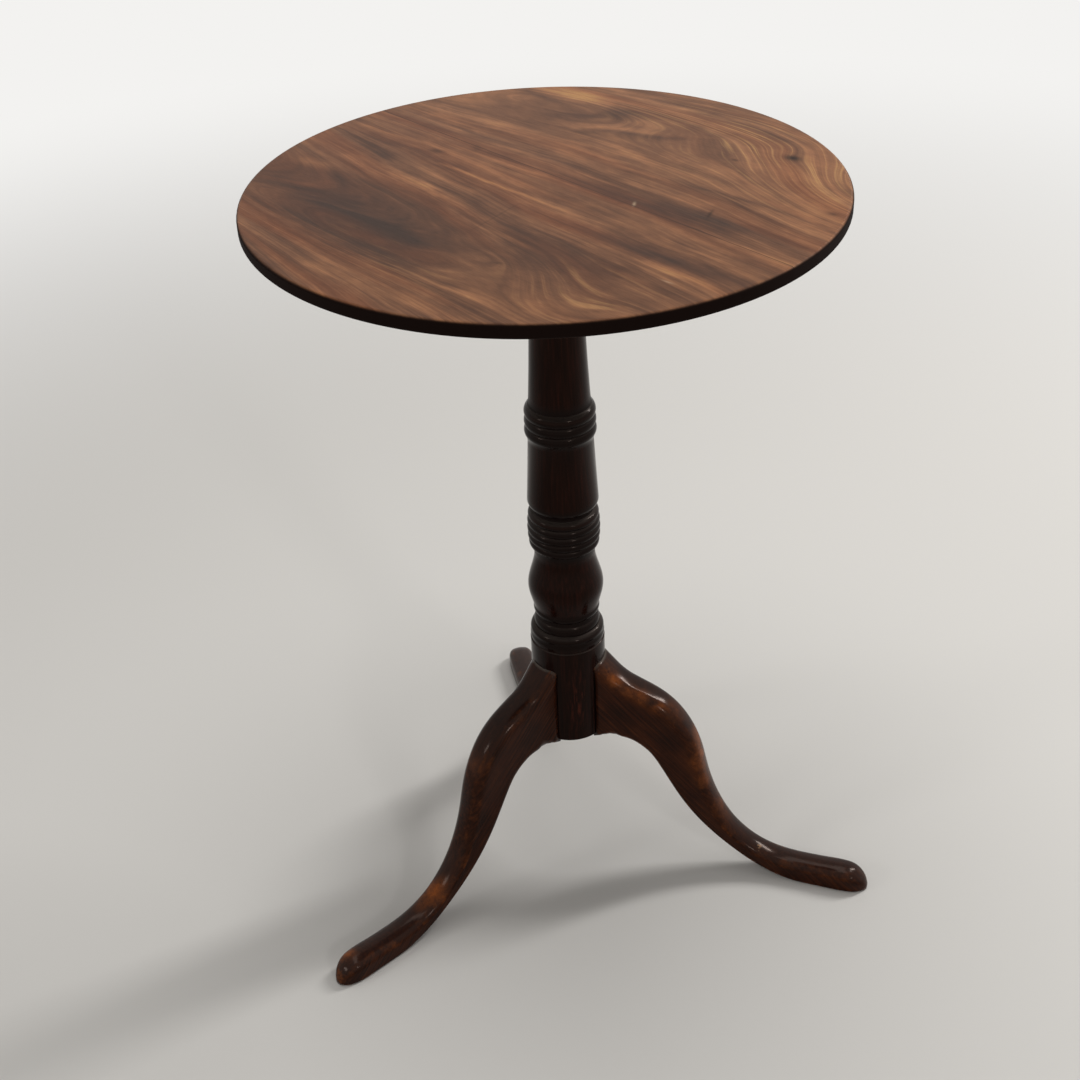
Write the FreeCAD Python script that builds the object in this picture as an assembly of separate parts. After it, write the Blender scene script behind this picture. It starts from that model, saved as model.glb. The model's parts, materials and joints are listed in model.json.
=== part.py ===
import FreeCAD, Part
import math
import os

# A small round tripod table whose top tilts upright: two boards on two bearers, a block with
# two pintles, a ring-turned column, three splayed legs, and a brass bolt that locks the top.
# Millimetres, +Z up. The origin is on the column's axis at floor level, and one leg points to -Y.

V = FreeCAD.Vector
ORIGIN = V(0, 0, 0)
ALONG_X = V(1, 0, 0)
ALONG_Y = V(0, 1, 0)
ALONG_Z = V(0, 0, 1)

# Screws: the slot and the point, as shares of the head and shank
slot_width_share = 0.28
slot_depth_share = 0.4
point_share = 1.5

# Fits between pieces
glue_gap = 0.05
running_gap = 0.08
moving_gap = 0.3

# Top: two boards glued edge to edge, grain along X
top_radius = 250.0
top_thickness = 12.5
top_edge_round = 2.8
top_shift_x = -4.3
top_shift_y = -4.9
board_joint_offset = 22.6

# Bearers under the top, across the grain
bearer_edge_margin = 33.7
bearer_width = 26.0
bearer_under_pintle = 4.6
bearer_end_height = 9.0
bearer_taper_length = 70.0
bearer_arris = 2.5
bearer_screw_inset = 8.0
bearer_screw_middle = -12.0
bearer_screw_head_radius = 4.2
bearer_screw_shank_radius = 2.1
bearer_screw_bite = 8.0

# Block on the column's head, with a pintle at each side
block_width = 96.0
block_thickness = 24.0
block_front = 55.0
block_bevel = 5.0
pintle_offset = 45.0
pintle_radius = 7.0
pintle_length = 24.0
pintle_chamfer = 1.2

# Column, from the bottom up: radii from the axis, lengths along it
column_bottom = 150.0
base_radius = 35.8
base_length = 106.5
base_round = 1.5
quirk_depth = 1.1
quirk_height = 0.8
base_ring_radius = 35.6
base_ring_length = 9.2
shoulder_radius = 35.0
shoulder_crest_height = 3.2
shoulder_length = 8.0
torus_foot_radius = 30.7
torus_radius = 31.2
torus_crest_height = 4.6
torus_length = 9.6
cove_radius = 28.8
cove_length = 3.6
bead_radius = 31.4
bead_crest_height = 4.3
bead_length = 7.8
vase_foot_radius = 30.9
vase_foot_swell = 33.0
vase_foot_swell_height = 8.4
vase_belly_radius = 35.6
vase_belly_height = 22.0
vase_waist_radius = 31.1
vase_waist_height = 44.0
vase_neck_radius = 28.2
vase_length = 59.3
collar_radius = 30.2
collar_length = 8.5
mid_reed_count = 5
mid_reed_pitch = 7.7
mid_reed_radius = 33.95
mid_reed_swell = 1.7
reed_depth = 1.7
shaft_groove_radius = 28.4
shaft_groove_length = 3.4
shaft_round_radius = 31.6
shaft_foot_round = 10.5
shaft_foot_radius = 33.0
shaft_head_radius = 29.7
shaft_length = 74.0
upper_reed_count = 3
upper_reed_pitch = 9.5
upper_reed_radius = 32.7
upper_reed_taper = 0.6
upper_lead_length = 5.5
upper_lead_radius = 31.0
upper_cap_length = 1.8
neck_foot_radius = 28.0
neck_waist_radius = 25.1
neck_waist_height = 60.0
neck_head_radius = 22.2
neck_length = 163.4
tenon_radius = 17.0
wedge_spread = 6.0
wedge_depth = 18.0
wedge_head = 3.0
wedge_tip = 0.6

# Legs: the upper and lower lines in matched pairs, first out from the base's face and up from
# the column's underside, then in from the toe's tip and up from the floor. The shank between
# them is drawn in by its hollow. The upper arrises are soft chamfers at root and knee, where their
# fullness is small, and full rounds at the foot.
leg_names = ("leg_front", "leg_right", "leg_left")
first_leg_angle = -90.0
leg_reach = 307.0
leg_root_width = 36.0
leg_knee_width = 29.5
leg_ankle_width = 26.0
leg_foot_width = 28.0
knee_upper_line = ((-13.6, 96.0), (6.2, 78.0), (22.2, 64.8), (46.2, 54.6), (71.2, 39.4), (87.8, 18.0))
knee_lower_line = ((-13.6, -1.0), (6.2, -1.0), (20.2, -0.2), (32.2, -2.5), (44.2, -10.0), (52.2, -18.5))
foot_upper_line = ((142.2, 59.8), (116.4, 35.0), (89.0, 24.9), (60.0, 23.0), (24.0, 23.5))
foot_lower_line = ((167.0, 54.5), (135.0, 27.5), (101.0, 8.0), (66.0, -1.5), (24.0, -1.5))
shank_hollow = 3.2
leg_root_arris = 6.0
leg_knee_arris = 6.5
leg_ankle_arris = 7.0
leg_foot_arris = 9.0
arris_fullness = (0.35, 0.35, 0.8, 1.0)
leg_under_arris = 2.5
leg_crown = 0.8
leg_steps_per_pair = 2
arris_limit = 0.45
toe_angles = (24.0, 44.0, 60.0, 72.0, 81.0)

# Sliding dovetails of the legs, let into the base from below
dovetail_height = 78.0
dovetail_depth = 14.0
dovetail_neck = 14.0
dovetail_flare = 20.0
dovetail_lap = 3.0

# Iron plate under the base, with an arm to each leg
plate_thickness = 2.5
plate_hub_radius = 22.0
plate_arm_width = 15.0
plate_arm_reach = 22.0
plate_screw_inset = 8.0
plate_screw_head_radius = 3.8
plate_screw_shank_radius = 1.9
plate_screw_bite = 16.0

# Brass bolt under the top, in front of the block
catch_width = 38.0
catch_plate_thickness = 2.0
catch_front_gap = 4.0
catch_wall = 1.5
catch_inset = 4.0
bolt_width = 11.0
bolt_height = 5.0
bolt_length = 46.0
bolt_tail_room = 10.5
bolt_drop = 3.5
bolt_nose_gap = 2.0
bolt_nose_bevel = 2.0
bolt_travel = 8.0
bolt_bite = 9.5
spring_room = 2.2
spring_strip = 0.6
spring_length = 30.0
spring_height = 3.6
knob_radius = 5.5
knob_length = 8.0
knob_neck_radius = 3.8
knob_neck_length = 2.0
knob_face_radius = 2.8
knob_shank_radius = 2.4
knob_back = 30.0
catch_screw_inset = 5.0
catch_screw_head_radius = 3.0
catch_screw_shank_radius = 1.5
catch_screw_bite = 7.0

# Brass strike let into the block's front face
strike_width = 36.0
strike_height = 11.0
strike_cover = 0.2
strike_thickness = 1.5
strike_screw_spacing = 26.0
strike_screw_head_radius = 2.6
strike_screw_shank_radius = 1.3
strike_screw_bite = 9.0

# Heights and places that follow
base_top = column_bottom + base_length
leg_angles = {name: first_leg_angle + 360.0 * i / len(leg_names) for i, name in enumerate(leg_names)}
vase_foot = base_top + base_ring_length + shoulder_length + torus_length + cove_length + bead_length
mid_reed_foot = vase_foot + vase_length + collar_length
shaft_foot = mid_reed_foot + mid_reed_count * mid_reed_pitch
upper_lead_foot = shaft_foot + shaft_length
upper_reed_foot = upper_lead_foot + upper_lead_length
neck_foot = upper_reed_foot + upper_reed_count * upper_reed_pitch + upper_cap_length
block_bottom = neck_foot + neck_length
block_top = block_bottom + block_thickness
top_underside = block_top + moving_gap
top_face = top_underside + top_thickness
pintle_height = block_bottom + block_thickness / 2
joint_y = top_shift_y + board_joint_offset
bearer_x = block_width / 2 + moving_gap + bearer_width / 2
bearer_bottom = pintle_height - pintle_radius - running_gap - bearer_under_pintle
bearer_outer_x = bearer_x + bearer_width / 2 + abs(top_shift_x)
bearer_half_length = math.sqrt(top_radius ** 2 - bearer_outer_x ** 2) - bearer_edge_margin
bearer_half_flat = bearer_half_length - bearer_taper_length
bolt_top = top_underside - bolt_drop
bolt_middle = bolt_top - bolt_height / 2
bolt_nose_y = -block_front - bolt_nose_gap
catch_front = -block_front - catch_front_gap
bolt_tail_y = bolt_nose_y - bolt_length
case_back = bolt_tail_y - bolt_tail_room - catch_wall
case_front = catch_front - catch_inset
catch_rear = case_back - catch_inset
case_half = bolt_width / 2 + moving_gap
knob_y = bolt_nose_y - knob_back
HUGE = 4 * (top_radius + top_face)


def box(low, high):
    """A box between two corners."""
    return Part.makeBox(high[0] - low[0], high[1] - low[1], high[2] - low[2], V(*low))


def prism(points, way):
    """A straight prism of a closed outline of points."""
    corners = [V(*p) for p in points]
    return Part.Face(Part.makePolygon(corners + corners[:1])).extrude(way)


def rod(radius, length, start, way):
    return Part.makeCylinder(radius, length, start, way)


def turned(outline, start, way):
    """A solid turned about a line, from (radius, distance along the line) corners."""
    face = Part.Face(Part.makePolygon([V(r, 0, z) for r, z in outline + outline[:1]]))
    solid = face.revolve(ORIGIN, ALONG_Z, 360)
    solid.Placement = FreeCAD.Placement(start, FreeCAD.Rotation(ALONG_Z, way))
    return solid


def screw(head_radius, shank_radius, length, start, way):
    """A countersunk slotted screw whose head is flush at start and whose shank goes along way."""
    head_depth = head_radius - shank_radius
    tip = point_share * shank_radius
    body = turned([(0, 0), (head_radius, 0), (shank_radius, head_depth), (shank_radius, length - tip),
                   (0, length)], start, way)
    slot_width = slot_width_share * head_radius
    slot_depth = slot_depth_share * head_depth
    slot = box((-head_radius, -slot_width / 2, -slot_depth), (head_radius, slot_width / 2, slot_depth))
    slot.Placement = FreeCAD.Placement(start, FreeCAD.Rotation(ALONG_Z, way))
    return body.cut(slot)


def screw_hole(head_radius, shank_radius, length, start, way):
    """The countersunk hole that such a screw fills, with room for glue all round."""
    head_depth = head_radius - shank_radius
    wide = shank_radius + glue_gap
    mouth = head_radius + glue_gap
    return turned([(0, -head_depth), (mouth, -head_depth), (mouth, 0), (wide, head_depth),
                   (wide, length + glue_gap), (0, length + glue_gap)], start, way)


class Turning:
    """A lathe profile drawn from the bottom up, in radius and height."""

    def __init__(self, radius, height):
        self.tip = V(radius, 0, height)
        self.edges = []

    def line(self, radius, height):
        end = V(radius, 0, height)
        self.edges.append(Part.LineSegment(self.tip, end).toShape())
        self.tip = end

    def arc(self, through, end):
        via = V(through[0], 0, through[1])
        stop = V(end[0], 0, end[1])
        self.edges.append(Part.Arc(self.tip, via, stop).toShape())
        self.tip = stop

    def curve(self, points):
        spline = Part.BSplineCurve()
        stops = [V(r, 0, z) for r, z in points]
        spline.interpolate([self.tip] + stops)
        self.edges.append(spline.toShape())
        self.tip = stops[-1]

    def solid(self):
        first = self.edges[0].firstVertex().Point
        self.edges.append(Part.LineSegment(self.tip, first).toShape())
        return Part.Face(Part.Wire(self.edges)).revolve(ORIGIN, ALONG_Z, 360)


def add_reeds(profile, foot, count, pitch, crest):
    """Half-round reeds one above another; crest gives the crest's radius at a height."""
    for i in range(count):
        middle = foot + (i + 0.5) * pitch
        end = foot + (i + 1) * pitch
        profile.arc((crest(middle), middle), (crest(end) - reed_depth, end))


def column_profile():
    p = Turning(0, column_bottom)
    p.line(base_radius - base_round, column_bottom)
    bevel = base_round * (1 - math.sqrt(0.5))
    p.arc((base_radius - bevel, column_bottom + bevel), (base_radius, column_bottom + base_round))

    # Base ring between two quirks, the shoulder that rolls in, and the torus under the cove
    p.line(base_radius, base_top - quirk_height)
    p.line(base_radius - quirk_depth, base_top)
    ring_top = base_top + base_ring_length
    p.arc((base_ring_radius, base_top + base_ring_length / 2), (base_radius - quirk_depth, ring_top))
    torus_foot = ring_top + shoulder_length
    p.arc((shoulder_radius, ring_top + shoulder_crest_height), (torus_foot_radius, torus_foot))
    cove_foot = torus_foot + torus_length
    p.arc((torus_radius, torus_foot + torus_crest_height), (cove_radius, cove_foot))

    # Cove, bead and vase
    bead_foot = cove_foot + cove_length
    p.line(cove_radius, bead_foot)
    p.arc((bead_radius, bead_foot + bead_crest_height), (vase_foot_radius, vase_foot))
    p.curve([(vase_foot_swell, vase_foot + vase_foot_swell_height),
             (vase_belly_radius, vase_foot + vase_belly_height),
             (vase_waist_radius, vase_foot + vase_waist_height),
             (vase_neck_radius, vase_foot + vase_length)])
    p.line(collar_radius, mid_reed_foot)

    # Middle reeds, fullest at mid height
    half_reeds = (shaft_foot - mid_reed_foot) / 2
    reeds_middle = mid_reed_foot + half_reeds

    def mid_crest(height):
        return mid_reed_radius - mid_reed_swell * ((height - reeds_middle) / half_reeds) ** 2

    add_reeds(p, mid_reed_foot, mid_reed_count, mid_reed_pitch, mid_crest)

    # Shaft with a rounded foot, tapering to the upper reeds
    p.line(shaft_groove_radius, shaft_foot + quirk_height)
    p.line(shaft_groove_radius, shaft_foot + shaft_groove_length)
    round_top = shaft_foot + shaft_foot_round
    round_middle = (shaft_foot + shaft_groove_length + round_top) / 2
    p.arc((shaft_round_radius, round_middle), (shaft_foot_radius, round_top))
    p.line(shaft_head_radius, upper_lead_foot)
    p.line(upper_lead_radius, upper_reed_foot)

    upper_reeds = upper_reed_count * upper_reed_pitch

    def upper_crest(height):
        return upper_reed_radius - upper_reed_taper * (height - upper_reed_foot) / upper_reeds

    add_reeds(p, upper_reed_foot, upper_reed_count, upper_reed_pitch, upper_crest)
    p.line(neck_foot_radius, neck_foot)
    p.curve([(neck_waist_radius, neck_foot + neck_waist_height), (neck_head_radius, block_bottom)])
    p.line(tenon_radius, block_bottom)
    p.line(tenon_radius, block_top)
    p.line(0, block_top)
    return p


def wedge_blank(y):
    """The tapered slice that one wedge takes out of the tenon."""
    wide = 2 * tenon_radius
    foot = block_top - wedge_depth
    outline = [(-wide, y - wedge_head / 2, block_top), (-wide, y + wedge_head / 2, block_top),
               (-wide, y + wedge_tip / 2, foot), (-wide, y - wedge_tip / 2, foot)]
    return prism(outline, V(2 * wide, 0, 0))


def make_wedges():
    tenon = rod(tenon_radius, block_thickness, V(0, 0, block_bottom), ALONG_Z)
    return [wedge_blank(y).common(tenon) for y in (-wedge_spread, wedge_spread)]


def dovetail(gap):
    """The tongue of a leg that points along +X, wider inside than at the base's face."""
    outer = base_radius + dovetail_lap
    inner = base_radius - dovetail_depth - gap
    neck = dovetail_neck / 2 + gap
    flare = dovetail_flare / 2 + gap
    slope = (flare - neck) / dovetail_depth
    mouth = neck - slope * (outer - base_radius)
    outline = [(inner, -flare, column_bottom), (outer, -mouth, column_bottom),
               (outer, mouth, column_bottom), (inner, flare, column_bottom)]
    return prism(outline, V(0, 0, dovetail_height + gap))


def make_column():
    solid = column_profile().solid()
    for angle in leg_angles.values():
        solid = solid.cut(dovetail(glue_gap).rotate(ORIGIN, ALONG_Z, angle))
    for y in (-wedge_spread, wedge_spread):
        solid = solid.cut(wedge_blank(y))
    return solid.cut(plate_screw_hole(0, 0))


def leg_line(knee_line, foot_line):
    """The points of a leg's upper or lower line, from inside the base to where the toe closes in."""
    knee = [V(base_radius + s, 0, column_bottom + z) for s, z in knee_line]
    foot = [V(leg_reach - s, 0, z) for s, z in foot_line]
    shank = (knee[-1] + foot[0]) / 2 - V(shank_hollow, 0, 0)
    return knee + [shank] + foot


def interpolated(points, stations):
    """A smooth curve through points, each at its own station."""
    spline = Part.BSplineCurve()
    spline.interpolate(Points=points, Parameters=stations)
    return spline


def between(station, stations, values):
    """The value at a station, in line between the values at the stations beside it."""
    for i in range(len(stations) - 1):
        if station <= stations[i + 1]:
            share = (station - stations[i]) / (stations[i + 1] - stations[i])
            return values[i] + share * (values[i + 1] - values[i])
    return values[-1]


def leg_section(upper, lower, width, arris, full, crown):
    """A closed wire across the leg: flat sides, a crowned top and arrises between flat and round."""
    tall = upper.sub(lower)
    height = tall.Length
    up = tall.normalize()
    half = width / 2
    limit = arris_limit * min(width, height)
    top_round = min(arris, limit)
    low_round = min(leg_under_arris, limit)
    diag = 1 - math.sqrt(0.5)
    dip = top_round * (0.5 - full * (0.5 - diag))

    def at(side, level):
        return lower.add(up * level).add(V(0, side, 0))

    shoulder = height - top_round - crown
    flat = half - top_round
    brow = height - crown
    keep = half - low_round
    edges = [
        Part.Arc(at(-flat, brow), at(0, height), at(flat, brow)),
        Part.Arc(at(flat, brow), at(half - dip, brow - dip), at(half, shoulder)),
        Part.LineSegment(at(half, shoulder), at(half, low_round)),
        Part.Arc(at(half, low_round), at(half - diag * low_round, diag * low_round), at(keep, 0)),
        Part.LineSegment(at(keep, 0), at(-keep, 0)),
        Part.Arc(at(-keep, 0), at(diag * low_round - half, diag * low_round), at(-half, low_round)),
        Part.LineSegment(at(-half, low_round), at(-half, shoulder)),
        Part.Arc(at(-half, shoulder), at(dip - half, brow - dip), at(-flat, brow)),
    ]
    return Part.Wire([e.toShape() for e in edges])


def leg_blank():
    """The shaped leg along +X before it is scribed to the base."""
    upper_points = leg_line(knee_upper_line, foot_upper_line)
    lower_points = leg_line(knee_lower_line, foot_lower_line)
    middles = [(u + w) / 2 for u, w in zip(upper_points, lower_points)]
    stations = [0.0]
    for here, there in zip(middles, middles[1:]):
        stations.append(stations[-1] + here.distanceToPoint(there))
    upper = interpolated(upper_points, stations)
    lower = interpolated(lower_points, stations)
    knee = len(knee_upper_line) - 1
    stages = [stations[0], stations[knee], stations[knee + 3], stations[-1]]
    widths = [leg_root_width, leg_knee_width, leg_ankle_width, leg_foot_width]
    arrises = [leg_root_arris, leg_knee_arris, leg_ankle_arris, leg_foot_arris]
    places = [stations[0]]
    for here, there in zip(stations, stations[1:]):
        step = (there - here) / leg_steps_per_pair
        places += [here + (i + 1) * step for i in range(leg_steps_per_pair)]
    wires = [leg_section(upper.value(t), lower.value(t), between(t, stages, widths),
                         between(t, stages, arrises), between(t, stages, arris_fullness), leg_crown)
             for t in places]

    # The toe closes in on quarter ellipses, in side view and in plan
    toe_out, toe_top = foot_upper_line[-1]
    toe_low = foot_lower_line[-1][1]
    for angle in toe_angles:
        share = math.cos(math.radians(angle))
        reach = leg_reach - toe_out + toe_out * math.sin(math.radians(angle))
        height = share * (toe_top - toe_low)
        wires.append(leg_section(V(reach, 0, toe_low + height), V(reach, 0, toe_low),
                                 leg_foot_width * share, leg_foot_arris * share, arris_fullness[-1],
                                 leg_crown * share))
    return Part.makeLoft(wires, True, False)


def make_leg():
    """A leg along +X, flat under the foot, housed for the plate's arm, scribed to the base and tongued."""
    leg = leg_blank()
    leg = leg.cut(box((-HUGE, -HUGE, -HUGE), (HUGE, HUGE, 0)))
    leg = leg.cut(plate_arm(glue_gap, 2 * plate_thickness))
    scribe = rod(base_radius + glue_gap, HUGE, V(0, 0, 0), ALONG_Z)
    blank = leg.cut(scribe).fuse(dovetail(0)).removeSplitter()
    return blank.cut(plate_screw_hole(plate_screw_out(), 0))


def plate_screw_out():
    """How far a screw in a plate's arm lies from the column's axis."""
    return base_radius + plate_arm_reach - plate_screw_inset


def plate_screw_start(out, angle):
    turn = math.radians(angle)
    return V(out * math.cos(turn), out * math.sin(turn), column_bottom - plate_thickness)


def plate_screw_hole(out, angle):
    return screw_hole(plate_screw_head_radius, plate_screw_shank_radius, plate_screw_bite,
                      plate_screw_start(out, angle), ALONG_Z)


def plate_screw_places():
    return [(0.0, 0.0)] + [(plate_screw_out(), angle) for angle in leg_angles.values()]


def plate_arm(gap, thickness):
    """An arm of the plate along +X with a round end, or with a gap the housing for it in a leg."""
    low = column_bottom - thickness
    half = plate_arm_width / 2
    centre = base_radius + plate_arm_reach - half
    bar = box((0, -half - gap, low), (centre, half + gap, column_bottom))
    return bar.fuse(rod(half + gap, thickness, V(centre, 0, low), ALONG_Z))


def make_base_plate():
    low = column_bottom - plate_thickness
    plate = rod(plate_hub_radius, plate_thickness, V(0, 0, low), ALONG_Z)
    for angle in leg_angles.values():
        plate = plate.fuse(plate_arm(0, plate_thickness).rotate(ORIGIN, ALONG_Z, angle))
    for out, angle in plate_screw_places():
        plate = plate.cut(plate_screw_hole(out, angle))
    return plate.removeSplitter()


def make_plate_screws():
    return [screw(plate_screw_head_radius, plate_screw_shank_radius, plate_screw_bite,
                  plate_screw_start(out, angle), ALONG_Z) for out, angle in plate_screw_places()]


def make_block():
    """The block's side view, with its back edge rounded about the pintles, drawn across its width."""
    back = pintle_offset + block_thickness / 2
    left = -block_width / 2

    def at(y, z):
        return V(left, y, z)

    corner = math.sqrt(0.5) * block_thickness / 2
    corners = [at(pintle_offset, block_top), at(-block_front, block_top),
               at(-block_front, block_bottom + block_bevel), at(block_bevel - block_front, block_bottom),
               at(back - block_bevel, block_bottom), at(back, block_bottom + block_bevel),
               at(back, pintle_height)]
    edges = [Part.LineSegment(a, b).toShape() for a, b in zip(corners, corners[1:])]
    middle = at(pintle_offset + corner, pintle_height + corner)
    edges.append(Part.Arc(corners[-1], middle, corners[0]).toShape())
    block = Part.Face(Part.Wire(edges)).extrude(V(block_width, 0, 0))
    for side in (-1, 1):
        way = V(side, 0, 0)
        outline = [(0, 0), (pintle_radius, 0), (pintle_radius, pintle_length - pintle_chamfer),
                   (pintle_radius - pintle_chamfer, pintle_length), (0, pintle_length)]
        start = V(side * block_width / 2, pintle_offset, pintle_height)
        block = block.fuse(turned(outline, start, way))
    bore = rod(tenon_radius + glue_gap, block_thickness, V(0, 0, block_bottom), ALONG_Z)
    block = block.removeSplitter().cut(bore).cut(strike_blank(glue_gap))
    half = bolt_width / 2 + moving_gap
    mortise = box((-half, -block_front, bolt_middle - bolt_height / 2 - moving_gap),
                  (half, bolt_bite - block_front, bolt_middle + bolt_height / 2 + moving_gap))
    block = block.cut(mortise)
    for hole in strike_screws(screw_hole):
        block = block.cut(hole)
    return block


def strike_blank(gap):
    """The strike's plate, or with a gap the recess for it, just under the block's upper face."""
    half = strike_width / 2 + gap
    top = block_top - strike_cover
    return box((-half, -block_front, top - strike_height - gap),
               (half, strike_thickness - block_front, top + gap))


def strike_screws(kind):
    """Screws, or the holes for them, at both ends of the strike."""
    return [kind(strike_screw_head_radius, strike_screw_shank_radius, strike_screw_bite,
                 V(side * strike_screw_spacing / 2, -block_front, bolt_middle), ALONG_Y)
            for side in (-1, 1)]


def make_strike():
    half = bolt_width / 2 + moving_gap
    tall = bolt_height / 2 + moving_gap
    mouth = box((-half, -HUGE, bolt_middle - tall), (half, HUGE, bolt_middle + tall))
    plate = strike_blank(0).cut(mouth)
    for hole in strike_screws(screw_hole):
        plate = plate.cut(hole)
    return plate


def bearer_screws(kind, side):
    """Screws, or the holes for them, up through one bearer into the top."""
    length = top_underside - bearer_bottom + bearer_screw_bite
    end = bearer_half_flat - bearer_screw_inset
    return [kind(bearer_screw_head_radius, bearer_screw_shank_radius, length,
                 V(side * bearer_x, top_shift_y + y, bearer_bottom), ALONG_Z)
            for y in (-end, bearer_screw_middle, end)]


def make_bearer(side):
    """A bar with thinned ends, bored for the pintle and its screws."""
    inner = side * bearer_x - bearer_width / 2
    thin = top_underside - bearer_end_height
    front = top_shift_y - bearer_half_length
    back = top_shift_y + bearer_half_length
    outline = [(inner, front, top_underside), (inner, front, thin),
               (inner, top_shift_y - bearer_half_flat, bearer_bottom),
               (inner, top_shift_y + bearer_half_flat, bearer_bottom),
               (inner, back, thin), (inner, back, top_underside)]
    bar = prism(outline, V(bearer_width, 0, 0))
    lower = [e for e in bar.Edges if is_lower_arris(e)]
    bar = bar.makeChamfer(bearer_arris, lower)
    bore = rod(pintle_radius + running_gap, bearer_width, V(inner, pintle_offset, pintle_height), ALONG_X)
    bar = bar.cut(bore)
    for hole in bearer_screws(screw_hole, side):
        bar = bar.cut(hole)
    return bar


def is_lower_arris(edge):
    """True for the long edges on a bearer's underside."""
    a = edge.firstVertex().Point
    b = edge.lastVertex().Point
    lengthwise = abs(a.x - b.x) < 0.01 and abs(a.y - b.y) > 1
    return lengthwise and min(a.z, b.z) < top_underside - bearer_end_height / 2


def catch_screws(kind):
    """Screws, or the holes for them, at the corners of the bolt's plate."""
    low = top_underside - catch_plate_thickness
    across = catch_width / 2 - catch_screw_inset
    ends = (catch_front - catch_screw_inset, catch_rear + catch_screw_inset)
    return [kind(catch_screw_head_radius, catch_screw_shank_radius, catch_plate_thickness + catch_screw_bite,
                 V(side * across, y, low), ALONG_Z) for side in (-1, 1) for y in ends]


def top_disc():
    centre = V(top_shift_x, top_shift_y, top_underside)
    disc = rod(top_radius, top_thickness, centre, ALONG_Z)
    rims = [e for e in disc.Edges if e.Curve.TypeId == "Part::GeomCircle"]
    return disc.makeFillet(top_edge_round, rims)


def make_boards():
    """The round top, sawn along the glued joint into its front and back boards."""
    disc = top_disc()
    for hole in catch_screws(screw_hole) + bearer_screws(screw_hole, -1) + bearer_screws(screw_hole, 1):
        disc = disc.cut(hole)
    front = disc.common(box((-HUGE, -HUGE, 0), (HUGE, joint_y, HUGE)))
    back = disc.common(box((-HUGE, joint_y, 0), (HUGE, HUGE, HUGE)))
    return front, back


def make_catch_plate():
    """A cast plate with a case under it that guides the bolt and hides its friction spring."""
    low = top_underside - catch_plate_thickness
    half = catch_width / 2
    plate = box((-half, catch_rear, low), (half, catch_front, top_underside))
    left = -case_half - spring_room
    floor = bolt_top - bolt_height - moving_gap
    roof = bolt_top + moving_gap
    case = box((left - catch_wall, case_back, floor - catch_wall), (case_half + catch_wall, case_front, low))
    body = plate.fuse(case).removeSplitter()
    room = box((left, case_back + catch_wall, floor), (case_half, case_front - catch_wall, roof))
    mouth = box((-case_half, case_front - 2 * catch_wall, floor), (case_half, case_front, roof))
    slot_half = knob_shank_radius + moving_gap
    slot = box((-slot_half, knob_y - slot_half, floor - 2 * catch_wall),
               (slot_half, knob_y + bolt_travel + slot_half, roof))
    body = body.cut(room).cut(mouth).cut(slot)
    for hole in catch_screws(screw_hole):
        body = body.cut(hole)
    return body


def make_bolt():
    half = bolt_width / 2
    low = bolt_top - bolt_height
    outline = [(-half, bolt_nose_y, bolt_top), (-half, bolt_tail_y, bolt_top), (-half, bolt_tail_y, low),
               (-half, bolt_nose_y - bolt_nose_bevel, low), (-half, bolt_nose_y, low + bolt_nose_bevel)]
    bar = prism(outline, V(bolt_width, 0, 0))
    return bar.cut(rod(knob_shank_radius + glue_gap, bolt_height, V(0, knob_y, low), ALONG_Z))


def make_knob():
    """A turned thumb knob whose shank goes up through the case into the bolt."""
    neck = bolt_height + moving_gap + catch_wall + moving_gap
    swell = neck + knob_neck_length
    face = neck + knob_length
    p = Turning(0, 0)
    p.line(knob_shank_radius, 0)
    p.line(knob_shank_radius, neck)
    p.line(knob_neck_radius, neck)
    p.line(knob_neck_radius, swell)
    p.arc((knob_radius, (swell + face) / 2), (knob_face_radius, face))
    p.line(0, face)
    knob = p.solid()
    knob.Placement = FreeCAD.Placement(V(0, knob_y, bolt_top), FreeCAD.Rotation(ALONG_Z, V(0, 0, -1)))
    return knob


def make_spring():
    """A bowed strip beside the bolt: its ends bear on the case and its middle faces the bolt."""
    wall = -case_half - spring_room + glue_gap
    crest = -bolt_width / 2 - moving_gap
    middle = (case_back + case_front) / 2
    low = bolt_middle - spring_height / 2
    half = spring_length / 2

    def bow(end_x, middle_x):
        return Part.Arc(V(end_x, middle - half, low), V(middle_x, middle, low), V(end_x, middle + half, low))

    outer = bow(wall + spring_strip, crest)
    inner = bow(wall, crest - spring_strip)
    tips = [Part.LineSegment(outer.StartPoint, inner.StartPoint),
            Part.LineSegment(outer.EndPoint, inner.EndPoint)]
    wire = Part.Wire(Part.__sortEdges__([e.toShape() for e in [outer, inner] + tips]))
    return Part.Face(wire).extrude(V(0, 0, spring_height))


def save(name, shape):
    """Write one node, which is a solid or a group of like solids."""
    group = shape if isinstance(shape, list) else [shape]
    solids = [s for piece in group for s in piece.Solids]
    whole = solids[0] if len(solids) == 1 else Part.makeCompound(solids)
    whole.exportStep("parts/" + name + ".step")
    size = whole.BoundBox
    print("%-20s solids %d valid %s volume %.1f cm3, z %.1f to %.1f"
          % (name, len(solids), whole.isValid(), whole.Volume / 1000, size.ZMin, size.ZMax))


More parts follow.
